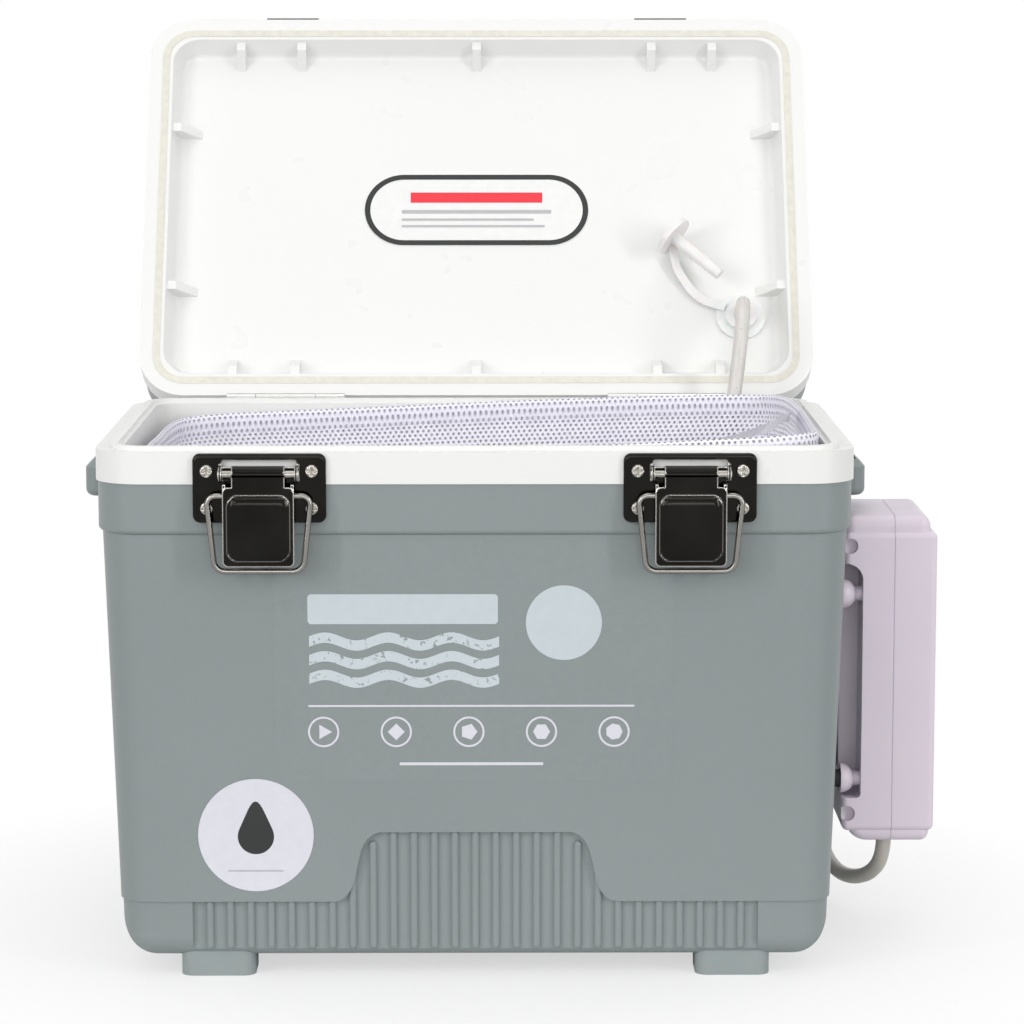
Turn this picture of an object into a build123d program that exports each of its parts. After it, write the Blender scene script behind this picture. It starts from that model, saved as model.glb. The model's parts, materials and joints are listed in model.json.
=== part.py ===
"""Insulated live-bait cooler with a clip-on aerator pump, a lift-out net and a tethered stopper.

Frame: millimetres, +Z up, front (latch side) towards -Y, origin under the middle of the box at the
level of the floor it stands on. The lid is modelled closed and then turned open about the hinge pins.
"""
from build123d import *
import os

os.makedirs("parts", exist_ok=True)

# ---------------------------------------------------------------- driving dimensions
HALF_X = 150.0            # rim half width
HALF_Y = 95.0             # rim half depth
RIM_TOP = 213.0           # top of the rim's deck
RIM_BOTTOM = 200.5        # where the rim meets the grey shell
CORNER = 20.0             # plan corner radius of the rim
DRAFT = 1.97              # mould draft of the tall walls, degrees
WALL = 4.0                # outer shell wall
LINER = 2.0               # inner tub wall
FOAM_GAP = 0.2            # between foam and skins
RUNNING_GAP = 0.3         # between bodies that move past each other

SHELL_BOTTOM = 8.0        # underside of the shell, above the floor
BAND_BOTTOM = 180.3       # lower edge of the shell's thick top band
BAND_INSET = 0.8          # band face behind the rim's face
WALL_INSET = 2.4          # wall face behind the rim's face, just under the band
SLOPE = 0.0344            # the same draft, as width per height
FRONT_BOTTOM_ROUND = 9.0  # round of the shell's front and rear bottom edges
SIDE_BOTTOM_ROUND = 18.0  # round of its lower corners, seen from the front

OPENING_INSET = 10.5      # rim face to the tub's mouth
TUB_FLOOR = 20.0          # top of the tub's floor
LIP_OUTER = 5.8           # raised lip on the rim: outer and inner distance from the rim's face
LIP_INNER = 8.8
LIP_HEIGHT = 1.8

HINGE_X = 84.3            # hinge centres
HINGE_Y = 97.5            # pin axis
HINGE_Z = 213.5
LID_OPEN = 120.0          # degrees from closed to the open stop

LATCH_X = 84.2            # latch centres
LID_BASE = 215.4          # underside of the closed lid's flange
LID_BAND_TOP = 227.4      # white band to grey shell
LID_TOP = 251.4

SCREW_HEAD_R = 2.6
SCREW_HEAD_H = 1.8
SCREW_SHANK_R = 1.5
SCREW_SHANK_L = 5.0
CROSS_SIZE = (3.8, 1.0)   # cross recess: length and width of its slots
CROSS_DEPTH = 1.0
PLATE = 1.2               # sheet thickness of hinge leaves, latch plates and strikes

PUMP_X = (151.7, 172.1, 189.8)   # wall face, parting plane, outer face
PUMP_HALF_Y = 29.0
PUMP_Z = (41.9, 178.5)

# Sketch plane facing +Y, as Plane.XZ faces -Y: its own X runs along -X and its own Y along +Z.
REAR = Plane(origin=(0, 0, 0), x_dir=(-1, 0, 0), z_dir=(0, 1, 0))


def save(part, name):
    """Label a finished piece and write it to its own STEP file."""
    part.label = name
    export_step(part, f"parts/{name}.step")


def drafted_block(inset, radius, top, depth, taper=DRAFT):
    """A rounded block hanging down from top, narrowing by the mould draft."""
    with BuildPart() as block:
        with BuildSketch(Plane.XY.offset(top)):
            RectangleRounded(2 * (HALF_X - inset), 2 * (HALF_Y - inset), radius)
        extrude(amount=-depth, taper=taper)
    return block.part


def round_bottomed(inset, top, bottom, offset=0.0):
    """A drafted block whose lower corners are rounder seen from the front than its front and rear
    bottom edges are. Offset is how far its rounds lie inside the shell's outer face."""
    with BuildPart() as block:
        add(drafted_block(inset, CORNER - inset, top, top - bottom))
        fillet(block.faces().sort_by(Axis.Z)[0].edges(), FRONT_BOTTOM_ROUND - offset)
        with BuildSketch(Plane.XZ.offset(-HALF_Y)):
            with BuildLine():
                half_top = HALF_X - inset
                half_bottom = half_top - (top - bottom) * SLOPE
                FilletPolyline((-half_top, top), (-half_bottom, bottom), (half_bottom, bottom),
                               (half_top, top), radius=SIDE_BOTTOM_ROUND - offset)
                Line((half_top, top), (-half_top, top))
            make_face()
        extrude(amount=2 * HALF_Y, mode=Mode.INTERSECT)
    return block.part


def lid_placed(part):
    """Turn a piece of the closed lid about the hinge pins to the open position."""
    return part.rotate(Axis((0, HINGE_Y, HINGE_Z), (1, 0, 0)), -LID_OPEN)


# ---------------------------------------------------------------- outer shell
BAND_ROUND = 2.0
NECK_TOP = BAND_BOTTOM + BAND_ROUND + 1   # above this the cavity widens into the band
PANEL_Z = 31.5            # lower edge of the raised front panel near the corners
PANEL_ARCH_Z = 60.0       # the same edge between the two S-curves
ARCH_CURVE = ((56, 32), (47, 46), (38, 60))   # S-curve of the arch: x, z
RIB_PITCH = 8.16
RIB_COUNT = 27
RIB_R = 1.6               # half width of a rib
RIB_ROUND = 1.4
RIB_DEPTH = 2.4
RIB_ZONE_X = 113.0
RIB_FOOT_Z = 11.5
LOWER_INSET = 0.8

shell_wall = drafted_block(WALL_INSET, CORNER - WALL_INSET, BAND_BOTTOM, BAND_BOTTOM - PANEL_Z)
shell_cavity = round_bottomed(WALL_INSET + WALL, NECK_TOP, SHELL_BOTTOM + WALL, WALL)

with BuildPart() as shell_round:
    add(round_bottomed(WALL_INSET + LOWER_INSET, BAND_BOTTOM, SHELL_BOTTOM))
    add(shell_wall)

with BuildPart() as shell_band:
    with BuildSketch(Plane.XY.offset(RIM_BOTTOM)):
        RectangleRounded(2 * (HALF_X - BAND_INSET), 2 * (HALF_Y - BAND_INSET), CORNER - BAND_INSET)
    extrude(amount=BAND_BOTTOM - RIM_BOTTOM)
    fillet(shell_band.faces().sort_by(Axis.Z)[0].edges(), BAND_ROUND)

with BuildPart() as shell_mouth:
    with BuildSketch(Plane.XY.offset(RIM_BOTTOM)):
        RectangleRounded(2 * (HALF_X - BAND_INSET - WALL), 2 * (HALF_Y - BAND_INSET - WALL),
                         CORNER - BAND_INSET - WALL)
    extrude(amount=NECK_TOP - RIM_BOTTOM)


# Sketch plane on the drafted front face, its own Y running up the face.
front_face = Plane(origin=(0, -(HALF_Y - WALL_INSET - BAND_BOTTOM * SLOPE), 0), x_dir=(1, 0, 0),
                   z_dir=(0, -1, -SLOPE))

# Recess under the arch, and the half-round ribs that stand on its floor.
with BuildPart() as rib_recess:
    with BuildSketch(front_face.offset(-RIB_DEPTH)):
        with BuildLine():
            Polyline((ARCH_CURVE[0][0], PANEL_Z), (RIB_ZONE_X, PANEL_Z), (RIB_ZONE_X, 0),
                     (-RIB_ZONE_X, 0), (-RIB_ZONE_X, PANEL_Z), (-ARCH_CURVE[0][0], PANEL_Z))
            Spline((-ARCH_CURVE[0][0], PANEL_Z), (-ARCH_CURVE[1][0], ARCH_CURVE[1][1]),
                   (-ARCH_CURVE[2][0], PANEL_ARCH_Z), tangents=((1, 0.2), (1, 0.2)))
            Line((-ARCH_CURVE[2][0], PANEL_ARCH_Z), (ARCH_CURVE[2][0], PANEL_ARCH_Z))
            Spline((ARCH_CURVE[2][0], PANEL_ARCH_Z), ARCH_CURVE[1],
                   (ARCH_CURVE[0][0], PANEL_Z), tangents=((1, -0.2), (1, -0.2)))
        make_face()
    extrude(amount=20)


def arch_height(x):
    """Height of the panel's lower edge above a rib at x."""
    (foot, _), _, (shoulder, _) = ARCH_CURVE
    if abs(x) > foot:
        return PANEL_Z
    if abs(x) < shoulder:
        return PANEL_ARCH_Z
    return PANEL_Z + (PANEL_ARCH_Z - PANEL_Z) * (foot - abs(x)) / (foot - shoulder)


with BuildPart() as front_ribs:
    for i in range(RIB_COUNT):
        x = (i - (RIB_COUNT - 1) / 2) * RIB_PITCH
        top = arch_height(x) + 0.5
        with BuildSketch(front_face.offset(-RIB_DEPTH)):
            with Locations((x, (RIB_FOOT_Z + top) / 2)):
                RectangleRounded(2 * RIB_R, top - RIB_FOOT_Z, RIB_R - 0.05)
        extrude(amount=RIB_DEPTH - LOWER_INSET)
    rib_tips = front_ribs.faces().filter_by(front_face).group_by(Axis((0, 0, 0), (0, -1, -SLOPE)))[-1]
    fillet(rib_tips.edges(), RIB_ROUND)

with BuildPart() as body_shell:
    add(shell_round)
    add(shell_band)
    add(rib_recess, mode=Mode.SUBTRACT)
    add(rib_recess.part.mirror(Plane.XZ), mode=Mode.SUBTRACT)
    add(front_ribs)
    add(front_ribs.part.mirror(Plane.XZ))
    add(shell_cavity, mode=Mode.SUBTRACT)
    add(shell_mouth, mode=Mode.SUBTRACT)

# ---------------------------------------------------------------- rim, tub and foam
DECK = 2.0                # thickness of the rim's deck
SKIRT = 4.0               # thickness of the rim's outer wall
MOUTH_RADIUS = 11.0
TUB_ROUND = 7.0

tub_outside = drafted_block(OPENING_INSET - LINER, MOUTH_RADIUS + LINER,
                            RIM_TOP, RIM_TOP - TUB_FLOOR + LINER)

with BuildPart() as tub_space:
    add(drafted_block(OPENING_INSET, MOUTH_RADIUS, RIM_TOP + LIP_HEIGHT, RIM_TOP + LIP_HEIGHT - TUB_FLOOR))
    fillet(tub_space.faces().sort_by(Axis.Z)[0].edges(), TUB_ROUND)

with BuildPart() as body_liner:
    with BuildSketch(Plane.XY.offset(RIM_TOP)):
        RectangleRounded(2 * HALF_X, 2 * HALF_Y, CORNER)
    extrude(amount=-DECK)
    with BuildSketch(Plane.XY.offset(RIM_TOP - DECK)):
        RectangleRounded(2 * HALF_X, 2 * HALF_Y, CORNER)
        RectangleRounded(2 * (HALF_X - SKIRT), 2 * (HALF_Y - SKIRT), CORNER - SKIRT, mode=Mode.SUBTRACT)
    extrude(amount=RIM_BOTTOM - RIM_TOP + DECK)
    with BuildSketch(Plane.XY.offset(RIM_TOP)):
        RectangleRounded(2 * (HALF_X - LIP_OUTER), 2 * (HALF_Y - LIP_OUTER), CORNER - LIP_OUTER)
        RectangleRounded(2 * (HALF_X - LIP_INNER), 2 * (HALF_Y - LIP_INNER), CORNER - LIP_INNER,
                         mode=Mode.SUBTRACT)
    extrude(amount=LIP_HEIGHT)
    add(tub_outside)
    add(tub_space, mode=Mode.SUBTRACT)

with BuildPart() as body_insulation:
    add(round_bottomed(WALL_INSET + WALL + FOAM_GAP, NECK_TOP, SHELL_BOTTOM + WALL + FOAM_GAP,
                       WALL + FOAM_GAP))
    with BuildSketch(Plane.XY.offset(NECK_TOP)):
        RectangleRounded(2 * (HALF_X - WALL_INSET - WALL - FOAM_GAP),
                         2 * (HALF_Y - WALL_INSET - WALL - FOAM_GAP), CORNER - WALL_INSET - WALL)
    extrude(amount=RIM_TOP - DECK - NECK_TOP - FOAM_GAP)
    add(drafted_block(OPENING_INSET - LINER - FOAM_GAP, MOUTH_RADIUS + LINER, RIM_TOP,
                      RIM_TOP - TUB_FLOOR + LINER + FOAM_GAP), mode=Mode.SUBTRACT)
save(body_insulation.part, "body_insulation")


# ---------------------------------------------------------------- feet and strap lugs
FOOT_X = 103.2
FOOT_SIZE = (29.8, 24.0, 14.0)
FOOT_FRONT_Y = 83.0
FOOT_CORNER = 5.0

for x_sign, x_name in ((-1, "left"), (1, "right")):
    for y_sign, y_name in ((-1, "front"), (1, "rear")):
        with BuildPart() as foot:
            with BuildSketch():
                with Locations((x_sign * FOOT_X, y_sign * (FOOT_FRONT_Y - FOOT_SIZE[1] / 2))):
                    RectangleRounded(FOOT_SIZE[0], FOOT_SIZE[1], FOOT_CORNER)
            extrude(amount=FOOT_SIZE[2])
            add(shell_round, mode=Mode.SUBTRACT)
        save(foot.part, f"foot_{y_name}_{x_name}")

LUG_OUTER_X = 161.2
LUG_BOTTOM = 185.0
LUG_HALF_Y = 15.0
LUG_SLOT = (5.0, 24.0)
LUG_SLOT_X = 155.2

with BuildPart() as lug:
    with BuildSketch(Plane.XY.offset(LUG_BOTTOM)):
        with Locations(((HALF_X - BAND_INSET + LUG_OUTER_X) / 2, 0)):
            Rectangle(LUG_OUTER_X - HALF_X + BAND_INSET, 2 * LUG_HALF_Y)
    extrude(amount=RIM_BOTTOM - LUG_BOTTOM - 0.5)
    fillet(lug.edges().filter_by(Axis.Z).group_by(Axis.X)[-1], 5)
    chamfer(lug.faces().sort_by(Axis.Z)[-1].edges().sort_by(Axis.X)[-1], 3)
    fillet(lug.faces().sort_by(Axis.Z)[0].edges().sort_by(Axis.X)[-1], 3)
    with BuildSketch(Plane.XY.offset(LUG_BOTTOM)):
        with Locations((LUG_SLOT_X, 0)):
            RectangleRounded(LUG_SLOT[0], LUG_SLOT[1], 2)
    extrude(amount=RIM_BOTTOM - LUG_BOTTOM, mode=Mode.SUBTRACT)
save(lug.part, "strap_lug_right")
save(lug.part.mirror(Plane.YZ), "strap_lug_left")


# ---------------------------------------------------------------- hinges
LEAF_WIDTH = 52.0
KNUCKLE_WIDTH = 26.0      # the body leaf's middle knuckle
KNUCKLE_R = 2.4
PIN_R = 1.2
LEAF_NOTCH = 2.9          # leaf edge above or below the other leaf's knuckle
BODY_LEAF_BOTTOM = 188.0
LID_LEAF_TOP = 240.0
LEAF_SCREW_DX = 18.0
BODY_LEAF_SCREW_Z = 196.0
LID_LEAF_SCREW_Z = 233.0
PIN_LENGTH = 53.0


def across(start_x, y, z):
    """Sketch plane facing +X at x, with its own X along +Y and its own Y along +Z."""
    return Plane(origin=(start_x, y, z), x_dir=(0, 1, 0), z_dir=(1, 0, 0))


def screws(positions, plane):
    """Pan-head screws whose heads stand on the plane, at (x, y) in that plane."""
    with BuildPart() as group:
        with BuildSketch(plane):
            with Locations(*positions):
                Circle(SCREW_HEAD_R)
        extrude(amount=SCREW_HEAD_H)
        fillet(group.faces().filter_by(plane).group_by(Axis(plane.origin, plane.z_dir))[-1].edges(), 0.9)
        with BuildSketch(plane):
            with Locations(*positions):
                Circle(SCREW_SHANK_R)
        extrude(amount=-SCREW_SHANK_L)
        with BuildSketch(plane.offset(SCREW_HEAD_H - CROSS_DEPTH)):
            with Locations(*positions):
                Rectangle(CROSS_SIZE[0], CROSS_SIZE[1])
                Rectangle(CROSS_SIZE[1], CROSS_SIZE[0])
        extrude(amount=CROSS_DEPTH, mode=Mode.SUBTRACT)
    return group.part


rear_plate = REAR.offset(HALF_Y)                 # face the leaves lie on
rear_heads = REAR.offset(HALF_Y + PLATE)         # face the screw heads stand on
front_plate = Plane.XZ.offset(HALF_Y)
front_heads = Plane.XZ.offset(HALF_Y + PLATE)

body_leaf_screw_holes = [(-sign * HINGE_X + dx, BODY_LEAF_SCREW_Z)
                         for sign in (-1, 1) for dx in (-LEAF_SCREW_DX, LEAF_SCREW_DX)]
lid_leaf_screw_holes = [(x, LID_LEAF_SCREW_Z) for x, _ in body_leaf_screw_holes]


def knuckle(centre_x, width, bore):
    with BuildPart() as barrel:
        with BuildSketch(across(centre_x - width / 2, HINGE_Y, HINGE_Z)):
            Circle(KNUCKLE_R)
            Circle(bore, mode=Mode.SUBTRACT)
        extrude(amount=width)
    return barrel.part


SIDE_KNUCKLE = (LEAF_WIDTH - KNUCKLE_WIDTH) / 2 - RUNNING_GAP
SIDE_KNUCKLE_DX = LEAF_WIDTH / 2 - SIDE_KNUCKLE / 2

for sign, side in ((-1, "left"), (1, "right")):
    centre = sign * HINGE_X
    pin_space = Plane(origin=(centre - PIN_LENGTH / 2, HINGE_Y, HINGE_Z), x_dir=(0, 1, 0), z_dir=(1, 0, 0))
    with BuildPart() as body_leaf:
        with BuildSketch(rear_plate):
            with Locations((-centre, (BODY_LEAF_BOTTOM + HINGE_Z) / 2)):
                Rectangle(LEAF_WIDTH, HINGE_Z - BODY_LEAF_BOTTOM)
            for dx in (-SIDE_KNUCKLE_DX, SIDE_KNUCKLE_DX):
                with Locations((-centre + dx, HINGE_Z)):
                    Rectangle(SIDE_KNUCKLE + 2 * RUNNING_GAP, 2 * LEAF_NOTCH, mode=Mode.SUBTRACT)
            with Locations(*[(-centre + dx, BODY_LEAF_SCREW_Z) for dx in (-LEAF_SCREW_DX, LEAF_SCREW_DX)]):
                Circle(SCREW_SHANK_R, mode=Mode.SUBTRACT)
        extrude(amount=PLATE)
        add(knuckle(centre, KNUCKLE_WIDTH, PIN_R))
        with BuildSketch(pin_space):
            Circle(PIN_R)
        extrude(amount=PIN_LENGTH, mode=Mode.SUBTRACT)
    save(body_leaf.part, f"hinge_body_leaf_{side}")

    with BuildPart() as lid_leaf:
        with BuildSketch(rear_plate):
            with Locations((-centre, (LID_LEAF_TOP + HINGE_Z) / 2)):
                Rectangle(LEAF_WIDTH, LID_LEAF_TOP - HINGE_Z)
            with Locations((-centre, HINGE_Z)):
                Rectangle(KNUCKLE_WIDTH + 2 * RUNNING_GAP, 2 * LEAF_NOTCH, mode=Mode.SUBTRACT)
            with Locations(*[(-centre + dx, LID_LEAF_SCREW_Z) for dx in (-LEAF_SCREW_DX, LEAF_SCREW_DX)]):
                Circle(SCREW_SHANK_R, mode=Mode.SUBTRACT)
        extrude(amount=PLATE)
        for dx in (-SIDE_KNUCKLE_DX, SIDE_KNUCKLE_DX):
            add(knuckle(centre + dx, SIDE_KNUCKLE, PIN_R + RUNNING_GAP))
        with BuildSketch(pin_space):
            Circle(PIN_R + RUNNING_GAP)
        extrude(amount=PIN_LENGTH, mode=Mode.SUBTRACT)
    save(lid_placed(lid_leaf.part), f"hinge_lid_leaf_{side}")

    with BuildPart() as hinge_pin:
        with BuildSketch(pin_space):
            Circle(PIN_R)
        extrude(amount=PIN_LENGTH)
    save(hinge_pin.part, f"hinge_pin_{side}")

save(screws(body_leaf_screw_holes, rear_heads), "hinge_body_screws")
save(lid_placed(screws(lid_leaf_screw_holes, rear_heads)), "hinge_lid_screws")


# ---------------------------------------------------------------- draw latches
BASE_HALF_W = 26.1
BASE_Z = (185.5, 212.8)
WINDOW = (29.2, 2.8, 208.9)            # width, height, centre height
LATCH_SCREWS = ((20.5, 206.0), (20.5, 191.4))
PIVOT = (7.0, 205.3)                   # lever pivot: distance in front of the rim, height
PIVOT_R = 1.5
PIVOT_HALF_L = 15.8
EAR_X = (14.2, 15.4)
EAR_R = 3.2
BARREL_R = 3.3
BARREL_HALF_W = 10.3
LEVER_HALF_W = 13.9
LEVER_FACE = (9.0, 10.2)               # back and front of the lever's sheet
LEVER_BOTTOM = 169.4
LEVER_SHOULDER = 200.5                 # the sheet is narrower above this height
PILLOW = (12.0, 171.8, 197.1, 1.6)     # half width, bottom, top, rise
PILLOW_ROUND = 1.4
FLANGE_X = 12.7
FLANGE_OUTLINE = ((9.6, 176), (8.2, 177.5), (4.4, 190), (3.9, 193), (3.9, 199.5), (5.5, 201.5), (9.6, 201.5))
BASE_THICK = 2.0
BASE_ROUND = 1.3
BAIL_PIVOT = (6.3, 196.8)
WIRE_R = 1.15
BAIL_DROP = 29.7                       # bail pivot to the cross wire
BAIL_TOP_X = 20.4
BAIL_FOOT_X = 17.2
BAIL_END_X = 12.5

STRIKE_X = 85.5
STRIKE_HALF_W = 12.2
STRIKE_Z = (217.6, 238.0)
SEAT = (3.6, 226.4)                    # cross wire in the latched strike
STRIKE_SCREWS = ((-7.5, 233.6), (7.5, 233.6))


def at_side(centre_x, half_width):
    """Sketch plane facing +X whose X is the distance in front of the rim and whose Y is the height."""
    return Plane(origin=(centre_x - half_width, -HALF_Y, 0), x_dir=(0, -1, 0), z_dir=(-1, 0, 0))


def latch_centre(sign):
    return sign * LATCH_X


def base_plate(centre):
    with BuildPart() as base:
        with BuildSketch(front_plate):
            with Locations((centre, sum(BASE_Z) / 2)):
                RectangleRounded(2 * BASE_HALF_W, BASE_Z[1] - BASE_Z[0], 3)
            with Locations((centre, WINDOW[2])):
                RectangleRounded(WINDOW[0], WINDOW[1], 0.9, mode=Mode.SUBTRACT)
            with Locations(*[(centre + side * dx, z) for side in (-1, 1) for dx, z in LATCH_SCREWS]):
                Circle(SCREW_SHANK_R, mode=Mode.SUBTRACT)
        extrude(amount=BASE_THICK)
        base_front = base.faces().filter_by(Axis.Y).group_by(Axis.Y)[0]
        fillet(base_front.sort_by(SortBy.AREA)[-1].outer_wire().edges(), BASE_ROUND)
        for ear in (-1, 1):
            with BuildSketch(at_side(centre + ear * sum(EAR_X) / 2, -(EAR_X[1] - EAR_X[0]) / 2)):
                with Locations(PIVOT):
                    Circle(EAR_R)
                with Locations((PIVOT[0] / 2, PIVOT[1])):
                    Rectangle(PIVOT[0], 2 * EAR_R)
                with Locations(PIVOT):
                    Circle(PIVOT_R, mode=Mode.SUBTRACT)
            extrude(amount=EAR_X[1] - EAR_X[0])
    return base.part


def lever(centre):
    thick = LEVER_FACE[1] - LEVER_FACE[0]
    with BuildPart() as handle:
        with BuildSketch(front_plate.offset(LEVER_FACE[0])):
            with Locations((centre, (LEVER_BOTTOM + PIVOT[1]) / 2)):
                Rectangle(2 * BARREL_HALF_W, PIVOT[1] - LEVER_BOTTOM)
            with Locations((centre, (LEVER_BOTTOM + LEVER_SHOULDER) / 2)):
                RectangleRounded(2 * LEVER_HALF_W, LEVER_SHOULDER - LEVER_BOTTOM, 2.2)
        extrude(amount=thick)
        with BuildSketch(front_plate.offset(LEVER_FACE[1] - 0.5)):
            with Locations((centre, (PILLOW[1] + PILLOW[2]) / 2)):
                RectangleRounded(2 * PILLOW[0], PILLOW[2] - PILLOW[1], 3)
        extrude(amount=PILLOW[3] + 0.5)
        fillet(handle.faces().filter_by(Axis.Y).group_by(Axis.Y)[0].edges(), PILLOW_ROUND)
        with BuildSketch(at_side(centre, -BARREL_HALF_W)):
            with Locations(PIVOT):
                Circle(BARREL_R)
        extrude(amount=2 * BARREL_HALF_W)
        for side in (-1, 1):
            flange_half = (LEVER_HALF_W - FLANGE_X) / 2
            with BuildSketch(at_side(centre + side * (FLANGE_X + flange_half), -flange_half)):
                with BuildLine():
                    Polyline(*FLANGE_OUTLINE, close=True)
                make_face()
                with Locations(BAIL_PIVOT):
                    Circle(WIRE_R + RUNNING_GAP, mode=Mode.SUBTRACT)
            extrude(amount=2 * flange_half)
        with BuildSketch(at_side(centre, -LEVER_HALF_W - 1)):
            with Locations(PIVOT):
                Circle(PIVOT_R + RUNNING_GAP)
        extrude(amount=2 * LEVER_HALF_W + 2, mode=Mode.SUBTRACT)
    return handle.part


def bail(centre):
    wire_plane = Plane(origin=(centre, -HALF_Y - BAIL_PIVOT[0], BAIL_PIVOT[1]), x_dir=(1, 0, 0),
                       z_dir=(0, -1, 0))
    with BuildPart() as wire:
        with BuildLine(wire_plane) as route:
            FilletPolyline((-BAIL_END_X, 0), (-BAIL_TOP_X, 0), (-BAIL_FOOT_X, -BAIL_DROP),
                           (BAIL_FOOT_X, -BAIL_DROP), (BAIL_TOP_X, 0), (BAIL_END_X, 0),
                           radius=[3.5, 4.5, 4.5, 3.5])
        with BuildSketch(Plane(origin=route.line @ 0, z_dir=route.line % 0)):
            Circle(WIRE_R)
        sweep()
    return wire.part


def strike(centre):
    ledge_top = SEAT[1] - WIRE_R - 0.25
    lip = SEAT[0] + WIRE_R + RUNNING_GAP
    with BuildPart() as hook:
        with BuildSketch(front_plate):
            with Locations((centre, sum(STRIKE_Z) / 2)):
                RectangleRounded(2 * STRIKE_HALF_W, STRIKE_Z[1] - STRIKE_Z[0], 2)
            with Locations(*[(centre + dx, z) for dx, z in STRIKE_SCREWS]):
                Circle(SCREW_SHANK_R, mode=Mode.SUBTRACT)
        extrude(amount=PLATE)
        with BuildSketch(at_side(centre, -STRIKE_HALF_W)):
            with BuildLine():
                Polyline((0.6, ledge_top), (0.6, ledge_top - 3.2), (2.4, ledge_top - 2.0),
                         (lip, ledge_top - 1.2), (lip + 1.2, ledge_top), (lip + 1.2, SEAT[1] + 0.6),
                         (lip, SEAT[1] + 0.2), (lip, ledge_top), close=True)
            make_face()
        extrude(amount=2 * STRIKE_HALF_W)
    return hook.part


latch_screw_holes = [(latch_centre(sign) + side * dx, z)
                     for sign in (-1, 1) for side in (-1, 1) for dx, z in LATCH_SCREWS]
strike_screw_holes = [(sign * STRIKE_X + dx, z) for sign in (-1, 1) for dx, z in STRIKE_SCREWS]

for sign, side in ((-1, "left"), (1, "right")):
    centre = latch_centre(sign)
    save(base_plate(centre), f"latch_base_{side}")
    with BuildPart() as pivot_pin:
        with BuildSketch(at_side(centre, -PIVOT_HALF_L)):
            with Locations(PIVOT):
                Circle(PIVOT_R)
        extrude(amount=2 * PIVOT_HALF_L)
    save(pivot_pin.part, f"latch_pivot_pin_{side}")
    save(lever(centre), f"latch_lever_{side}")
    save(bail(centre), f"latch_bail_{side}")
    save(lid_placed(strike(sign * STRIKE_X)), f"strike_{side}")

save(screws(latch_screw_holes, Plane.XZ.offset(HALF_Y + BASE_THICK)), "latch_screws")
save(lid_placed(screws(strike_screw_holes, front_heads)), "strike_screws")

# Clearance for every screw in the body, cut through the shell and the rim.
with BuildPart() as body_screw_holes:
    with BuildSketch(REAR.offset(HALF_Y + PLATE - SCREW_SHANK_L)):
        with Locations(*body_leaf_screw_holes):
            Circle(SCREW_SHANK_R)
    extrude(amount=SCREW_SHANK_L)
    with BuildSketch(Plane.XZ.offset(HALF_Y + PLATE - SCREW_SHANK_L)):
        with Locations(*latch_screw_holes):
            Circle(SCREW_SHANK_R)
    extrude(amount=SCREW_SHANK_L)

with BuildPart() as drilled_shell:
    add(body_shell)
    add(body_screw_holes, mode=Mode.SUBTRACT)
save(drilled_shell.part, "body_shell")

with BuildPart() as drilled_liner:
    add(body_liner)
    add(body_screw_holes, mode=Mode.SUBTRACT)
save(drilled_liner.part, "body_liner")


# ---------------------------------------------------------------- lid
LID_WALL = 3.0
LID_INSET = 0.6
LID_ROUND = 9.0
FLANGE_THICK = 2.0
RECESS_FLOOR = 225.4
RECESS_DRAFT = 22.0
RECESS_RADIUS = 12.0
PANEL_THICK = 2.0
GASKET_INSET = 7.4        # centre-line, from the lid's face
GASKET_WIDTH = 3.2
GASKET_Z = (215.1, 216.5)
GUSSET_END = 217.0
GUSSET_THICK = 4.0
GUSSETS_FRONT_X = (-108.7, -80.7, 0, 80.7, 108.7)
GUSSET_FRONT_LENGTH = 12.0
GUSSETS_SIDE_Y = (-40, 40)
GUSSET_SIDE_LENGTH = 15.0
GROMMET_X = 119.0
GROMMET_Y = 52.5
GROMMET_BODY_R = 5.4
LID_HOLE_R = 5.6
LABEL_SIZE = (102.0, 36.0, 0.5)
LABEL_Y = -1.5


def lid_ring(outer_inset, inner_inset, z_low, z_high):
    """A band round the lid between two distances in from its face."""
    with BuildPart() as band:
        with BuildSketch(Plane.XY.offset(z_low)):
            RectangleRounded(2 * (HALF_X - outer_inset), 2 * (HALF_Y - outer_inset), CORNER - outer_inset)
            RectangleRounded(2 * (HALF_X - inner_inset), 2 * (HALF_Y - inner_inset), CORNER - inner_inset,
                             mode=Mode.SUBTRACT)
        extrude(amount=z_high - z_low)
    return band.part


def recess(margin, floor):
    """The shallow tray space of the lid's inner panel, margin inside its walls."""
    with BuildPart() as tray:
        with BuildSketch(Plane.XY.offset(LID_BASE)):
            RectangleRounded(2 * (HALF_X - OPENING_INSET + margin), 2 * (HALF_Y - OPENING_INSET + margin),
                             RECESS_RADIUS + margin)
        extrude(amount=floor - LID_BASE, taper=RECESS_DRAFT)
    return tray.part


recess_outside = recess(PANEL_THICK, RECESS_FLOOR + PANEL_THICK)
with BuildPart() as recess_inside:
    add(recess(0, RECESS_FLOOR))
    fillet(recess_inside.faces().sort_by(Axis.Z)[-1].edges(), 3.5)

strike_shanks = Plane.XZ.offset(HALF_Y + PLATE - SCREW_SHANK_L)
hinge_shanks = REAR.offset(HALF_Y + PLATE - SCREW_SHANK_L)

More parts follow.
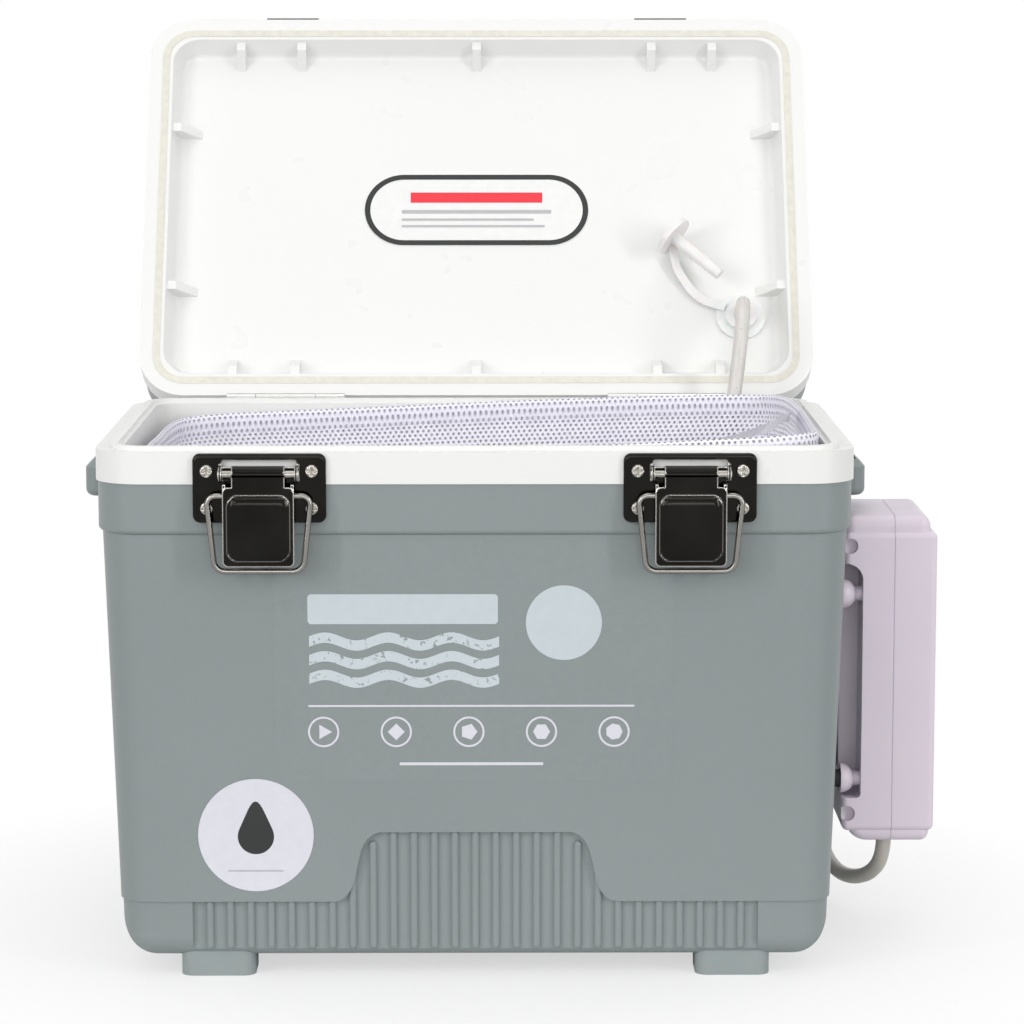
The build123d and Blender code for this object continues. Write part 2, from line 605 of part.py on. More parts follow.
with BuildPart() as lid_liner:
    add(lid_ring(0, LID_WALL + 1, LID_BASE, LID_BAND_TOP))
    with BuildSketch(Plane.XY.offset(LID_BASE)):
        RectangleRounded(2 * HALF_X - 2, 2 * HALF_Y - 2, CORNER - 1)
    extrude(amount=FLANGE_THICK)
    add(recess_outside)
    add(recess_inside, mode=Mode.SUBTRACT)
    for x in GUSSETS_FRONT_X:
        for sign in (-1, 1):
            with BuildSketch(Plane(origin=(x - GUSSET_THICK / 2, 0, 0), x_dir=(0, sign, 0),
                                   z_dir=(sign, 0, 0))):
                with BuildLine():
                    Polyline((HALF_Y - OPENING_INSET + 0.5, GUSSET_END),
                             (HALF_Y - OPENING_INSET - 4.5, GUSSET_END),
                             (HALF_Y - OPENING_INSET - GUSSET_FRONT_LENGTH, RECESS_FLOOR + 1),
                             (HALF_Y - OPENING_INSET - 3, RECESS_FLOOR + 1), close=True)
                make_face()
            extrude(amount=sign * GUSSET_THICK)
    for y in GUSSETS_SIDE_Y:
        for sign in (-1, 1):
            with BuildSketch(Plane(origin=(0, y - GUSSET_THICK / 2, 0), x_dir=(sign, 0, 0),
                                   z_dir=(0, -sign, 0))):
                with BuildLine():
                    Polyline((HALF_X - OPENING_INSET + 0.5, GUSSET_END),
                             (HALF_X - OPENING_INSET - 4.5, GUSSET_END),
                             (HALF_X - OPENING_INSET - GUSSET_SIDE_LENGTH, RECESS_FLOOR + 1),
                             (HALF_X - OPENING_INSET - 3, RECESS_FLOOR + 1), close=True)
                make_face()
            extrude(amount=-sign * GUSSET_THICK)
    add(lid_ring(GASKET_INSET - GASKET_WIDTH / 2, GASKET_INSET + GASKET_WIDTH / 2,
                 LID_BASE - 1, GASKET_Z[1]),
        mode=Mode.SUBTRACT)
    with BuildSketch(Plane.XY.offset(LID_BASE)):
        with Locations((GROMMET_X, GROMMET_Y)):
            Circle(LID_HOLE_R)
    extrude(amount=LID_TOP - LID_BASE, mode=Mode.SUBTRACT)
    with BuildSketch(strike_shanks):
        with Locations(*strike_screw_holes):
            Circle(SCREW_SHANK_R)
    extrude(amount=SCREW_SHANK_L, mode=Mode.SUBTRACT)
    with BuildSketch(hinge_shanks):
        with Locations(*lid_leaf_screw_holes):
            Circle(SCREW_SHANK_R)
    extrude(amount=SCREW_SHANK_L, mode=Mode.SUBTRACT)
save(lid_placed(lid_liner.part), "lid_liner")

with BuildPart() as lid_shell:
    with BuildSketch(Plane.XY.offset(LID_BAND_TOP)):
        RectangleRounded(2 * (HALF_X - LID_INSET), 2 * (HALF_Y - LID_INSET), CORNER - LID_INSET)
    extrude(amount=LID_TOP - LID_BAND_TOP, taper=1)
    fillet(lid_shell.faces().sort_by(Axis.Z)[-1].edges(), LID_ROUND)
    with BuildSketch(Plane.XY.offset(LID_BAND_TOP)):
        RectangleRounded(2 * (HALF_X - LID_INSET - LID_WALL - 1), 2 * (HALF_Y - LID_INSET - LID_WALL - 1),
                         CORNER - LID_INSET - LID_WALL - 1)
    extrude(amount=LID_TOP - LID_WALL - LID_BAND_TOP, mode=Mode.SUBTRACT)
    with BuildSketch(Plane.XY.offset(LID_BAND_TOP)):
        with Locations((GROMMET_X, GROMMET_Y)):
            Circle(LID_HOLE_R)
    extrude(amount=LID_TOP - LID_BAND_TOP, mode=Mode.SUBTRACT)
    with BuildSketch(strike_shanks):
        with Locations(*strike_screw_holes):
            Circle(SCREW_SHANK_R)
    extrude(amount=SCREW_SHANK_L, mode=Mode.SUBTRACT)
    with BuildSketch(hinge_shanks):
        with Locations(*lid_leaf_screw_holes):
            Circle(SCREW_SHANK_R)
    extrude(amount=SCREW_SHANK_L, mode=Mode.SUBTRACT)
save(lid_placed(lid_shell.part), "lid_shell")

FOAM_SIDE = LID_INSET + LID_WALL + 1 + FOAM_GAP
with BuildPart() as lid_insulation:
    with BuildSketch(Plane.XY.offset(LID_BASE + FLANGE_THICK + FOAM_GAP)):
        RectangleRounded(2 * (HALF_X - FOAM_SIDE), 2 * (HALF_Y - FOAM_SIDE), CORNER - FOAM_SIDE)
    extrude(amount=LID_TOP - LID_WALL - 2 * FOAM_GAP - LID_BASE - FLANGE_THICK)
    add(recess(PANEL_THICK + FOAM_GAP, RECESS_FLOOR + PANEL_THICK + FOAM_GAP), mode=Mode.SUBTRACT)
    with BuildSketch(Plane.XY.offset(LID_BASE)):
        with Locations((GROMMET_X, GROMMET_Y)):
            Circle(LID_HOLE_R + FOAM_GAP)
    extrude(amount=LID_TOP - LID_BASE, mode=Mode.SUBTRACT)
save(lid_placed(lid_insulation.part), "lid_insulation")

gasket = lid_ring(GASKET_INSET - GASKET_WIDTH / 2, GASKET_INSET + GASKET_WIDTH / 2, *GASKET_Z)
save(lid_placed(gasket), "lid_gasket")

with BuildPart() as label_plate:
    with BuildSketch(Plane.XY.offset(RECESS_FLOOR - LABEL_SIZE[2])):
        with Locations((0, LABEL_Y)):
            SlotOverall(LABEL_SIZE[0], LABEL_SIZE[1])
    extrude(amount=LABEL_SIZE[2])
save(lid_placed(label_plate.part), "label_plate")


# ---------------------------------------------------------------- grommet with tethered stopper
GROMMET_FLANGE_R = 11.0
GROMMET_FLANGE_T = 1.6
GROMMET_BOSS_R = 7.0
GROMMET_BOSS_T = 2.4
HOSE_R = 3.2
STOPPER_DISC = (9.5, 2.6)             # radius, thickness
STOPPER_SHAFT = (3.0, 27.0)           # radius, length
STOPPER_HEAD = (89.6, 18.0, 214.2)    # disc centre on the closed lid
STOPPER_TIP = (110.0, 37.0, 214.2)
STRAP_SIZE = (3.7, 1.8)

inner_face = RECESS_FLOOR
shaft_direction = (Vector(*STOPPER_TIP) - Vector(*STOPPER_HEAD)).normalized()
stopper_plane = Plane(origin=STOPPER_HEAD, z_dir=shaft_direction, x_dir=(0, 0, 1))

with BuildPart() as grommet_stopper:
    with BuildSketch(Plane.XY.offset(inner_face - GROMMET_FLANGE_T)):
        with Locations((GROMMET_X, GROMMET_Y)):
            Circle(GROMMET_FLANGE_R)
    extrude(amount=GROMMET_FLANGE_T)
    with BuildSketch(Plane.XY.offset(inner_face - GROMMET_FLANGE_T - GROMMET_BOSS_T)):
        with Locations((GROMMET_X, GROMMET_Y)):
            Circle(GROMMET_BOSS_R)
    extrude(amount=GROMMET_BOSS_T)
    with BuildSketch(Plane.XY.offset(inner_face)):
        with Locations((GROMMET_X, GROMMET_Y)):
            Circle(GROMMET_BODY_R)
    extrude(amount=LID_TOP - inner_face)
    with BuildSketch(Plane.XY.offset(LID_TOP)):
        with Locations((GROMMET_X, GROMMET_Y)):
            Circle(GROMMET_BOSS_R + 1)
    extrude(amount=GROMMET_BOSS_T)
    with BuildSketch(Plane.XY.offset(LID_BASE)):
        with Locations((GROMMET_X, GROMMET_Y)):
            Circle(HOSE_R)
    extrude(amount=LID_TOP - LID_BASE + 10, mode=Mode.SUBTRACT)
    with BuildSketch(stopper_plane.offset(-STOPPER_DISC[1])):
        Circle(STOPPER_DISC[0])
    extrude(amount=STOPPER_DISC[1])
    with BuildSketch(stopper_plane):
        Circle(STOPPER_SHAFT[0])
    extrude(amount=STOPPER_SHAFT[1], taper=0.8)
    with BuildLine() as strap_route:
        FilletPolyline((88.4, 19.5, 219.0), (90.5, 30, 222.0), (99, 44, 223.6), (112, 48.5, 223.4),
                       radius=[12, 20])
    with BuildSketch(Plane(origin=strap_route.line @ 0, z_dir=strap_route.line % 0, x_dir=(0, 0, 1))):
        Rectangle(STRAP_SIZE[1], STRAP_SIZE[0])
    sweep()
save(lid_placed(grommet_stopper.part), "grommet_stopper")


# ---------------------------------------------------------------- hoses and air stone
# Both hoses are drawn for the open lid. Route points run from the cooler's right side to the lid.
OUTER_ROUTE = [(172.4, 0, 40), (172.4, 0, 29.5), (168.0, 8.5, 19.5), (160.5, 21, 14.8), (154.5, 36, 15.6),
               (151.5, 54, 20.5), (150, 76, 29), (148, 99, 42), (144, 123, 60), (138.5, 147, 80),
               (132, 168, 101), (126, 188, 124), (122, 200, 148), (120, 203, 172), (119.5, 196, 195),
               (119, 182.5, 213.5), (119, 167, 225.3)]
INNER_ROUTE = [(119, 115.6, 255), (118, 100, 254.5), (116.5, 88, 243), (114, 82.5, 224),
               (111, 79.8, 200), (108.5, 78.6, 165), (107, 77.2, 128), (106, 74.5, 92),
               (104.5, 69, 62), (101.5, 63, 45), (98, 57, 33), (92, 48, 29.3), (86, 39, 29.3)]
STONE_R = 9.0
STONE_LENGTH = 34.0


def open_lid_point(x, y, z):
    """Where a point of the closed lid lies when the lid is open."""
    arm = Vector(0, y - HINGE_Y, z - HINGE_Z).rotate(Axis.X, -LID_OPEN)
    return (x, HINGE_Y + arm.Y, HINGE_Z + arm.Z)


OUTER_EXIT = open_lid_point(GROMMET_X, GROMMET_Y, LID_TOP + GROMMET_BOSS_T)
INNER_EXIT = open_lid_point(GROMMET_X, GROMMET_Y, RECESS_FLOOR - GROMMET_FLANGE_T - GROMMET_BOSS_T)


def corner_radii(points):
    """The largest tangent arc that each pair of neighbouring runs leaves room for."""
    radii = []
    for before, here, after in zip(points, points[1:], points[2:]):
        run_in = Vector(*here) - Vector(*before)
        run_out = Vector(*after) - Vector(*here)
        half_turn = run_in.get_angle(run_out) / 2
        radii.append(0.45 * min(run_in.length, run_out.length) / tan_degrees(half_turn))
    return radii


def tan_degrees(angle):
    """Tangent of an angle in degrees, from a unit vector turned by that angle."""
    turned = Vector(1, 0, 0).rotate(Axis.Z, angle)
    return turned.Y / turned.X


def hose(points, name):
    radii = corner_radii(points)
    with BuildPart() as tube:
        with BuildLine() as route:
            FilletPolyline(*points, radius=radii)
        with BuildSketch(Plane(origin=route.line @ 0, z_dir=route.line % 0)):
            Circle(HOSE_R)
        sweep()
    save(tube.part, name)


hose(OUTER_ROUTE + [OUTER_EXIT], "hose_outer")
hose([INNER_EXIT] + INNER_ROUTE, "hose_inner")

stone_end = Vector(*INNER_ROUTE[-1])
stone_direction = (stone_end - Vector(*INNER_ROUTE[-2])).normalized()
stone_flat = Vector(stone_direction.X, stone_direction.Y, 0).normalized()
with BuildPart() as air_stone:
    with BuildSketch(Plane(origin=stone_end, z_dir=stone_flat)):
        Circle(STONE_R)
    extrude(amount=STONE_LENGTH)
    fillet(air_stone.faces().filter_by(GeomType.PLANE).edges(), 1.2)
save(air_stone.part, "air_stone")


# ---------------------------------------------------------------- lift-out net
NET_HALF_X = 131.0
NET_FRONT_Y = -80.5
NET_BACK_Y = 74.0
NET_RADIUS = 16.0
NET_TOP = 211.0
NET_BOTTOM = 72.0
NET_THICK = 2.0
NET_TAPER = 9.0
HEM_Z = (211.0, 216.0)
HEM_WIDTH = 4.0


def net_outline(inset):
    """Plan of the net, inset from its hem."""
    with BuildSketch() as plan:
        with Locations((0, (NET_FRONT_Y + NET_BACK_Y) / 2)):
            RectangleRounded(2 * (NET_HALF_X - inset), NET_BACK_Y - NET_FRONT_Y - 2 * inset,
                             NET_RADIUS - inset)
    return plan.sketch


with BuildPart() as bait_net:
    with BuildSketch(Plane.XY.offset(NET_TOP)):
        add(net_outline(0))
    extrude(amount=NET_BOTTOM - NET_TOP, taper=NET_TAPER)
    with BuildSketch(Plane.XY.offset(NET_TOP)):
        add(net_outline(NET_THICK))
    extrude(amount=NET_BOTTOM + NET_THICK - NET_TOP, taper=NET_TAPER, mode=Mode.SUBTRACT)
save(bait_net.part, "bait_net")

with BuildPart() as net_hem:
    with BuildSketch(Plane.XY.offset(HEM_Z[0])):
        add(net_outline(-1))
        add(net_outline(HEM_WIDTH - 1), mode=Mode.SUBTRACT)
    extrude(amount=HEM_Z[1] - HEM_Z[0])
    fillet(net_hem.faces().sort_by(Axis.Z)[-1].edges(), 1.5)
save(net_hem.part, "net_hem")


# ---------------------------------------------------------------- aerator pump case
PUMP_WALL = 2.0
PUMP_ROUND = 2.5                      # rounding of the main block's edges
PUMP_CAP = 27.8                       # half width of the caps above and below the main block
CAP_ROUNDS = (4.4, 3.6)               # end rounding of the top and bottom cap
CAP_BACK_X = 153.5                    # back of the bottom cap
CAP_BACK_ROUND = 9.0
CASE_MAIN_Z = (46.5, 171.8)
CASE_FRONT_X = (187.2, 188.1)         # front faces of the top and bottom cap
CAVITY_HALF_Y = 24.0                  # half width of the cavity in the caps
CAVITY_Z = (43.9, 175.5)
PARTING_CHAMFER = 0.4
PUMP_RECESS_X = 159.4                 # floor of the hollow that faces the cooler
PUMP_RECESS_Z = (60.5, 158.7)
RECESS_ROUND = (2.0, 7.0)             # inner corners at the bottom and top of the hollow
PUMP_WEB = (8.0, 151.9)               # half width and back face of the web across the hollow
SOCKET_R = 6.2
SOCKET_FACE_X = 151.3
SOCKET_NECK_R = 3.0
SOCKET_POS = [(y, z) for z in (67.8, 145.5) for y in (-22.5, 22.5)]
STUD_R = 3.75
STUD_TIP_R = 1.8
STUD_TIP_L = 4.0
DIMPLE_R = 3.2
DIMPLE_DEPTH = 3.3
DIMPLE_POS = ((153.9, 54.0), (153.9, 166.0))
CASE_SCREW_POS = [(y, z) for z in (51.0, 170.0) for y in (-22.0, 22.0)]
CASE_SCREW_R = 1.3
CASE_BOSS_R = 3.2
CASE_SCREW_LENGTH = 28.0

DOOR_Y = (2.5, 25.5)
DOOR_Z = (58.0, 165.0)
DOOR_THICK = 1.8
CELL_BAY_Z = (54.5, 167.0)            # taller middle of the front half, behind the outer face
DOOR_X = 187.7
DOOR_PIVOT = (188.6, 59.2)            # x, z of the hinge line
SWITCH_Y = -14.0
SWITCH_Z = 150.0
SWITCH_SLOT = (5.6, 14.0)
SWITCH_TRAVEL = 5.0
GRILLE_Y = -14.0
GRILLE_Z = 76.0
GRILLE_SLOTS = 5

BARB_X = 172.4
BARB_R = 3.6
BARB_HOLE_R = 2.6

back_x, parting_x, face_x = PUMP_X
mid_z = sum(PUMP_Z) / 2
height_z = PUMP_Z[1] - PUMP_Z[0]


def case_block(side_outline, half_y, end_round):
    """A block of the pump case: a side outline made wide, its two ends rounded."""
    with BuildPart() as block:
        with BuildSketch(Plane.XZ):
            make_face(side_outline)
        extrude(amount=half_y, both=True)
        for direction in (0, -1):
            fillet(block.faces().sort_by(Axis.Y)[direction].outer_wire().edges(), end_round)
    return block.part


def corner_rectangle(start, end, rounds):
    """Edges of a rectangle; rounds are its lower left, lower right, upper right and upper left."""
    corners = ((start[0], start[1]), (end[0], start[1]), (end[0], end[1]), (start[0], end[1]))
    with BuildLine() as outline:
        FilletPolyline(*corners, radius=list(rounds), close=True)
    return outline.edges()


main_outline = corner_rectangle((back_x, CASE_MAIN_Z[0]), (face_x, CASE_MAIN_Z[1]), [PUMP_ROUND + 0.1] * 4)
top_outline = corner_rectangle((back_x, CASE_MAIN_Z[1] - 20), (CASE_FRONT_X[0], PUMP_Z[1]),
                               [CAP_ROUNDS[0] + 0.1] * 4)
bottom_outline = corner_rectangle((CAP_BACK_X, PUMP_Z[0]), (CASE_FRONT_X[1], CASE_MAIN_Z[0] + 20),
                                  [CAP_BACK_ROUND] + [CAP_ROUNDS[1] + 0.1] * 3)


def case_half(start_x, end_x):
    """The part of the solid pump case between two x positions, chamfered along the parting line."""
    with BuildPart() as half:
        add(case_block(main_outline, PUMP_HALF_Y, PUMP_ROUND))
        add(case_block(top_outline, PUMP_CAP, CAP_ROUNDS[0]))
        add(case_block(bottom_outline, PUMP_CAP, CAP_ROUNDS[1]))
        with BuildSketch(across(start_x, 0, mid_z)):
            Rectangle(2 * PUMP_HALF_Y + 2, height_z + 2)
        extrude(amount=end_x - start_x, mode=Mode.INTERSECT)
        flat_faces = half.faces().filter_by(Axis.X)
        parting = flat_faces.filter_by_position(Axis.X, parting_x - 0.01, parting_x + 0.01)
        chamfer(parting.edges(), PARTING_CHAMFER)
    return half.part


def cavity(start_x, end_x, bay_end_x):
    """Room inside the case: a wide bay for the cells and a narrower part in the caps."""
    with BuildPart() as room:
        with BuildSketch(across(start_x, 0, sum(CAVITY_Z) / 2)):
            RectangleRounded(2 * CAVITY_HALF_Y, CAVITY_Z[1] - CAVITY_Z[0], 3)
        extrude(amount=end_x - start_x)
        with BuildSketch(across(start_x, 0, sum(CELL_BAY_Z) / 2)):
            Rectangle(2 * (PUMP_HALF_Y - PUMP_WALL), CELL_BAY_Z[1] - CELL_BAY_Z[0])
        extrude(amount=bay_end_x - start_x)
    return room.part


with BuildPart() as pump_hollow:
    with BuildSketch(Plane.XZ):
        make_face(corner_rectangle((back_x - 10, PUMP_RECESS_Z[0]), (PUMP_RECESS_X, PUMP_RECESS_Z[1]),
                                   (1, RECESS_ROUND[0], RECESS_ROUND[1], 1)))
    extrude(amount=PUMP_HALF_Y + 1, both=True)
    with BuildSketch(across(PUMP_WEB[1], 0, sum(PUMP_RECESS_Z) / 2)):
        Rectangle(2 * PUMP_WEB[0], PUMP_RECESS_Z[1] - PUMP_RECESS_Z[0])
    extrude(amount=PUMP_RECESS_X - PUMP_WEB[1], mode=Mode.SUBTRACT)

with BuildPart() as pump_back_shell:
    add(case_half(back_x, parting_x))
    add(pump_hollow.part, mode=Mode.SUBTRACT)
    add(cavity(PUMP_RECESS_X + PUMP_WALL, parting_x, parting_x), mode=Mode.SUBTRACT)
    for y, z in CASE_SCREW_POS:
        with BuildSketch(across(PUMP_RECESS_X, y, z)):
            Circle(CASE_BOSS_R)
        extrude(amount=parting_x - PUMP_RECESS_X)
        with BuildSketch(across(back_x, y, z)):
            Circle(CASE_SCREW_R + 0.1)
        extrude(amount=parting_x - back_x, mode=Mode.SUBTRACT)
        with BuildSketch(across(back_x, y, z)):
            Circle(CASE_BOSS_R - 0.6)
        extrude(amount=4, mode=Mode.SUBTRACT)
    for y, z in SOCKET_POS:
        with BuildSketch(Plane(origin=(SOCKET_FACE_X, y, z), x_dir=(1, 0, 0), z_dir=(0, 0, 1))):
            with BuildLine():
                Line((0, 0), (SOCKET_R, 0))
                CenterArc((0, 0), SOCKET_R, 0, 90)
                Line((0, SOCKET_R), (0, 0))
            make_face()
        revolve(axis=Axis((SOCKET_FACE_X, y, z), (1, 0, 0)), revolution_arc=360)
        with BuildSketch(across(SOCKET_FACE_X + SOCKET_R - 1, y, z)):
            Circle(SOCKET_NECK_R)
        extrude(amount=PUMP_RECESS_X - SOCKET_FACE_X - SOCKET_R + 1.5)
        with BuildSketch(across(SOCKET_FACE_X, y, z)):
            Circle(STUD_TIP_R)
        extrude(amount=STUD_TIP_L + 0.2, mode=Mode.SUBTRACT)
    for x, z in DIMPLE_POS:
        for sign in (-1, 1):
            with BuildSketch(Plane(origin=(x, sign * PUMP_HALF_Y, z), x_dir=(1, 0, 0), z_dir=(0, -sign, 0))):
                Circle(DIMPLE_R)
            extrude(amount=DIMPLE_DEPTH, mode=Mode.SUBTRACT)
    with BuildSketch(Plane.XY.offset(PUMP_Z[0])):
        with Locations((BARB_X, 0)):
            Circle(BARB_HOLE_R)
    extrude(amount=PUMP_WALL, mode=Mode.SUBTRACT)
save(pump_back_shell.part, "pump_back_shell")

with BuildPart() as pump_front_shell:
    add(case_half(parting_x, face_x))
    add(cavity(parting_x, CASE_FRONT_X[0] - PUMP_WALL, DOOR_X), mode=Mode.SUBTRACT)
    with BuildSketch(across(face_x - 5, sum(DOOR_Y) / 2, sum(DOOR_Z) / 2)):
        Rectangle(DOOR_Y[1] - DOOR_Y[0] + 2 * RUNNING_GAP, DOOR_Z[1] - DOOR_Z[0] + 2 * RUNNING_GAP)
    extrude(amount=5, mode=Mode.SUBTRACT)
    for y, z in CASE_SCREW_POS:
        with BuildSketch(across(parting_x, y, z)):
            Circle(CASE_BOSS_R)
        extrude(amount=CASE_FRONT_X[0] - parting_x - PUMP_WALL + 0.5)
        with BuildSketch(across(parting_x, y, z)):
            Circle(CASE_SCREW_R)
        extrude(amount=12, mode=Mode.SUBTRACT)
    with BuildSketch(across(face_x - 5, SWITCH_Y, SWITCH_Z)):
        SlotOverall(SWITCH_SLOT[1], SWITCH_SLOT[0], rotation=90)
    extrude(amount=5, mode=Mode.SUBTRACT)
    for i in range(GRILLE_SLOTS):
        with BuildSketch(across(face_x - 5, GRILLE_Y, GRILLE_Z + 4 * (i - (GRILLE_SLOTS - 1) / 2))):
            SlotOverall(20, 1.8)
        extrude(amount=5, mode=Mode.SUBTRACT)
    with BuildSketch(Plane.XY.offset(PUMP_Z[0])):
        with Locations((BARB_X, 0)):
            Circle(BARB_HOLE_R)
    extrude(amount=PUMP_WALL, mode=Mode.SUBTRACT)
save(pump_front_shell.part, "pump_front_shell")

with BuildPart() as pump_screws:
    for y, z in CASE_SCREW_POS:
        with BuildSketch(across(back_x + 4, y, z)):
            Circle(CASE_SCREW_R)
        extrude(amount=CASE_SCREW_LENGTH)
        with BuildSketch(across(back_x + 2, y, z)):
            Circle(CASE_BOSS_R - 0.8)
        extrude(amount=2)
save(pump_screws.part, "pump_screws")

with BuildPart() as pump_studs:
    for y, z in SOCKET_POS:
        with BuildSketch(across(SOCKET_FACE_X - 15, y, z)):
            Circle(STUD_R)
        extrude(amount=15)
        with BuildSketch(across(SOCKET_FACE_X, y, z)):
            Circle(STUD_TIP_R)
        extrude(amount=STUD_TIP_L)
    add(shell_wall, mode=Mode.SUBTRACT)
save(pump_studs.part, "pump_studs")

with BuildPart() as battery_door:
    with BuildSketch(across(DOOR_X, sum(DOOR_Y) / 2, (DOOR_PIVOT[1] + DOOR_Z[1]) / 2)):
        Rectangle(DOOR_Y[1] - DOOR_Y[0], DOOR_Z[1] - DOOR_PIVOT[1])
    extrude(amount=DOOR_THICK)
    hinge_end = (DOOR_PIVOT[0], DOOR_Y[0], DOOR_PIVOT[1])
    with BuildSketch(Plane(origin=hinge_end, x_dir=(1, 0, 0), z_dir=(0, 1, 0))):
        Circle(DOOR_THICK / 2)
    extrude(amount=DOOR_Y[1] - DOOR_Y[0])
    with BuildSketch(across(DOOR_X + DOOR_THICK - 0.1, sum(DOOR_Y) / 2, DOOR_Z[1] - 7)):
        RectangleRounded(12, 3, 1)
    extrude(amount=0.5)
save(battery_door.part, "battery_door")

with BuildPart() as power_switch:
    with BuildSketch(across(DOOR_X + 0.3, SWITCH_Y, SWITCH_Z - SWITCH_TRAVEL / 2)):
        RectangleRounded(4.8, 7.0, 1)
    extrude(amount=1.7)
    with BuildSketch(across(DOOR_X - 2.0, SWITCH_Y, SWITCH_Z - SWITCH_TRAVEL / 2)):
        Rectangle(8.0, 10.0)
    extrude(amount=1.7)
    with BuildSketch(across(DOOR_X - 0.4, SWITCH_Y, SWITCH_Z - SWITCH_TRAVEL / 2)):
        Circle(2)
    extrude(amount=0.8)
save(power_switch.part, "power_switch")


# ---------------------------------------------------------------- inside the pump
CELL_R = 12.8
CELL_LENGTH = 49.0
CELL_X = 174.6
CELL_Y = 13.6
CELL_BOTTOM = 62.0
CONTACT_HALF = 9.0
CONTACT_THICK = 0.8
DRIVE_Y = -14.0
DRIVE_Z = 130.0
DRIVE_X = (162.2, 177.5, 179.0, 182.0)     # motor back, motor face, eccentric from and to
MOTOR_R = 11.5
SHAFT_R = 1.0
ECCENTRIC_R = 3.4
ECCENTRIC_OFFSET = 1.0
ROD_BORE = 4.8
ROD_R = 6.6
CHAMBER_R = 11.0
CHAMBER_X = 174.6
CHAMBER_Z = (70.0, 93.0)
TUBE_R = 2.2

with BuildPart() as battery_cell:
    with BuildSketch(Plane.XY.offset(CELL_BOTTOM)):
        with Locations((CELL_X, CELL_Y)):
            Circle(CELL_R)
    extrude(amount=CELL_LENGTH - 1.5)
    with BuildSketch(Plane.XY.offset(CELL_BOTTOM + CELL_LENGTH - 1.5)):
        with Locations((CELL_X, CELL_Y)):
            Circle(3.5)
    extrude(amount=1.5)
save(battery_cell.part, "battery_lower")
save(Pos(0, 0, CELL_LENGTH) * battery_cell.part, "battery_upper")

for name, z in (("contact_lower", CELL_BOTTOM - CONTACT_THICK),
                ("contact_upper", CELL_BOTTOM + 2 * CELL_LENGTH)):
    with BuildPart() as contact:
        with BuildSketch(Plane.XY.offset(z)):
            with Locations((CELL_X, CELL_Y)):
                Rectangle(2 * CONTACT_HALF, 2 * CONTACT_HALF)
        extrude(amount=CONTACT_THICK)
    save(contact.part, name)

with BuildPart() as motor:
    with BuildSketch(across(DRIVE_X[0], DRIVE_Y, DRIVE_Z)):
        Circle(MOTOR_R)
    extrude(amount=DRIVE_X[1] - DRIVE_X[0])
    with BuildSketch(across(DRIVE_X[1], DRIVE_Y, DRIVE_Z)):
        Circle(SHAFT_R)
    extrude(amount=DRIVE_X[3] - DRIVE_X[1], mode=Mode.ADD)
save(motor.part, "motor")

with BuildPart() as motor_eccentric:
    with BuildSketch(across(DRIVE_X[2], DRIVE_Y, DRIVE_Z)):
        with Locations((0, ECCENTRIC_OFFSET)):
            Circle(ECCENTRIC_R)
        Circle(SHAFT_R + 0.15, mode=Mode.SUBTRACT)
    extrude(amount=DRIVE_X[3] - DRIVE_X[2])
save(motor_eccentric.part, "motor_eccentric")

with BuildPart() as connecting_rod:
    with BuildSketch(across(DRIVE_X[2], DRIVE_Y, DRIVE_Z)):
        Circle(ROD_R)
        with Locations((0, -(DRIVE_Z - CHAMBER_Z[1] - 3) / 2)):
            Rectangle(4, DRIVE_Z - CHAMBER_Z[1] - 3)
        Circle(ROD_BORE, mode=Mode.SUBTRACT)
    extrude(amount=DRIVE_X[3] - DRIVE_X[2])
save(connecting_rod.part, "connecting_rod")

with BuildPart() as diaphragm:
    with BuildSketch(Plane.XY.offset(CHAMBER_Z[1])):
        with Locations((CHAMBER_X, DRIVE_Y)):
            Circle(CHAMBER_R - 0.5)
    extrude(amount=1.5)
    with BuildSketch(Plane.XY.offset(CHAMBER_Z[1] + 1.5)):
        with Locations(((DRIVE_X[2] + DRIVE_X[3]) / 2, DRIVE_Y)):
            Circle(3)
    extrude(amount=1.5)
save(diaphragm.part, "diaphragm")

with BuildPart() as diaphragm_chamber:
    with BuildSketch(Plane.XY.offset(CHAMBER_Z[0])):
        with Locations((CHAMBER_X, DRIVE_Y)):
            Circle(CHAMBER_R)
    extrude(amount=CHAMBER_Z[1] - CHAMBER_Z[0])
    with BuildSketch(Plane.XY.offset(CHAMBER_Z[0] + 12)):
        with Locations((CHAMBER_X, DRIVE_Y)):
            Circle(CHAMBER_R - 2)
    extrude(amount=CHAMBER_Z[1] - CHAMBER_Z[0] - 12, mode=Mode.SUBTRACT)
    with BuildSketch(Plane.XY.offset(CHAMBER_Z[0] - 4)):
        with Locations((BARB_X, DRIVE_Y + 4)):
            Circle(TUBE_R)
    extrude(amount=4)
save(diaphragm_chamber.part, "diaphragm_chamber")

with BuildPart() as outlet_barb:
    with BuildSketch(Plane.XY.offset(PUMP_Z[0] + PUMP_WALL)):
        with Locations((BARB_X, 0)):
            Circle(BARB_R)
    extrude(amount=1.5)
    with BuildSketch(Plane.XY.offset(PUMP_Z[0])):
        with Locations((BARB_X, 0)):
            Circle(BARB_HOLE_R)
    extrude(amount=PUMP_WALL + 4)
    with BuildSketch(Plane.XY.offset(OUTER_ROUTE[0][2])):
        with Locations((BARB_X, 0)):
            Circle(BARB_R)
    extrude(amount=PUMP_Z[0] - OUTER_ROUTE[0][2])
save(outlet_barb.part, "outlet_barb")

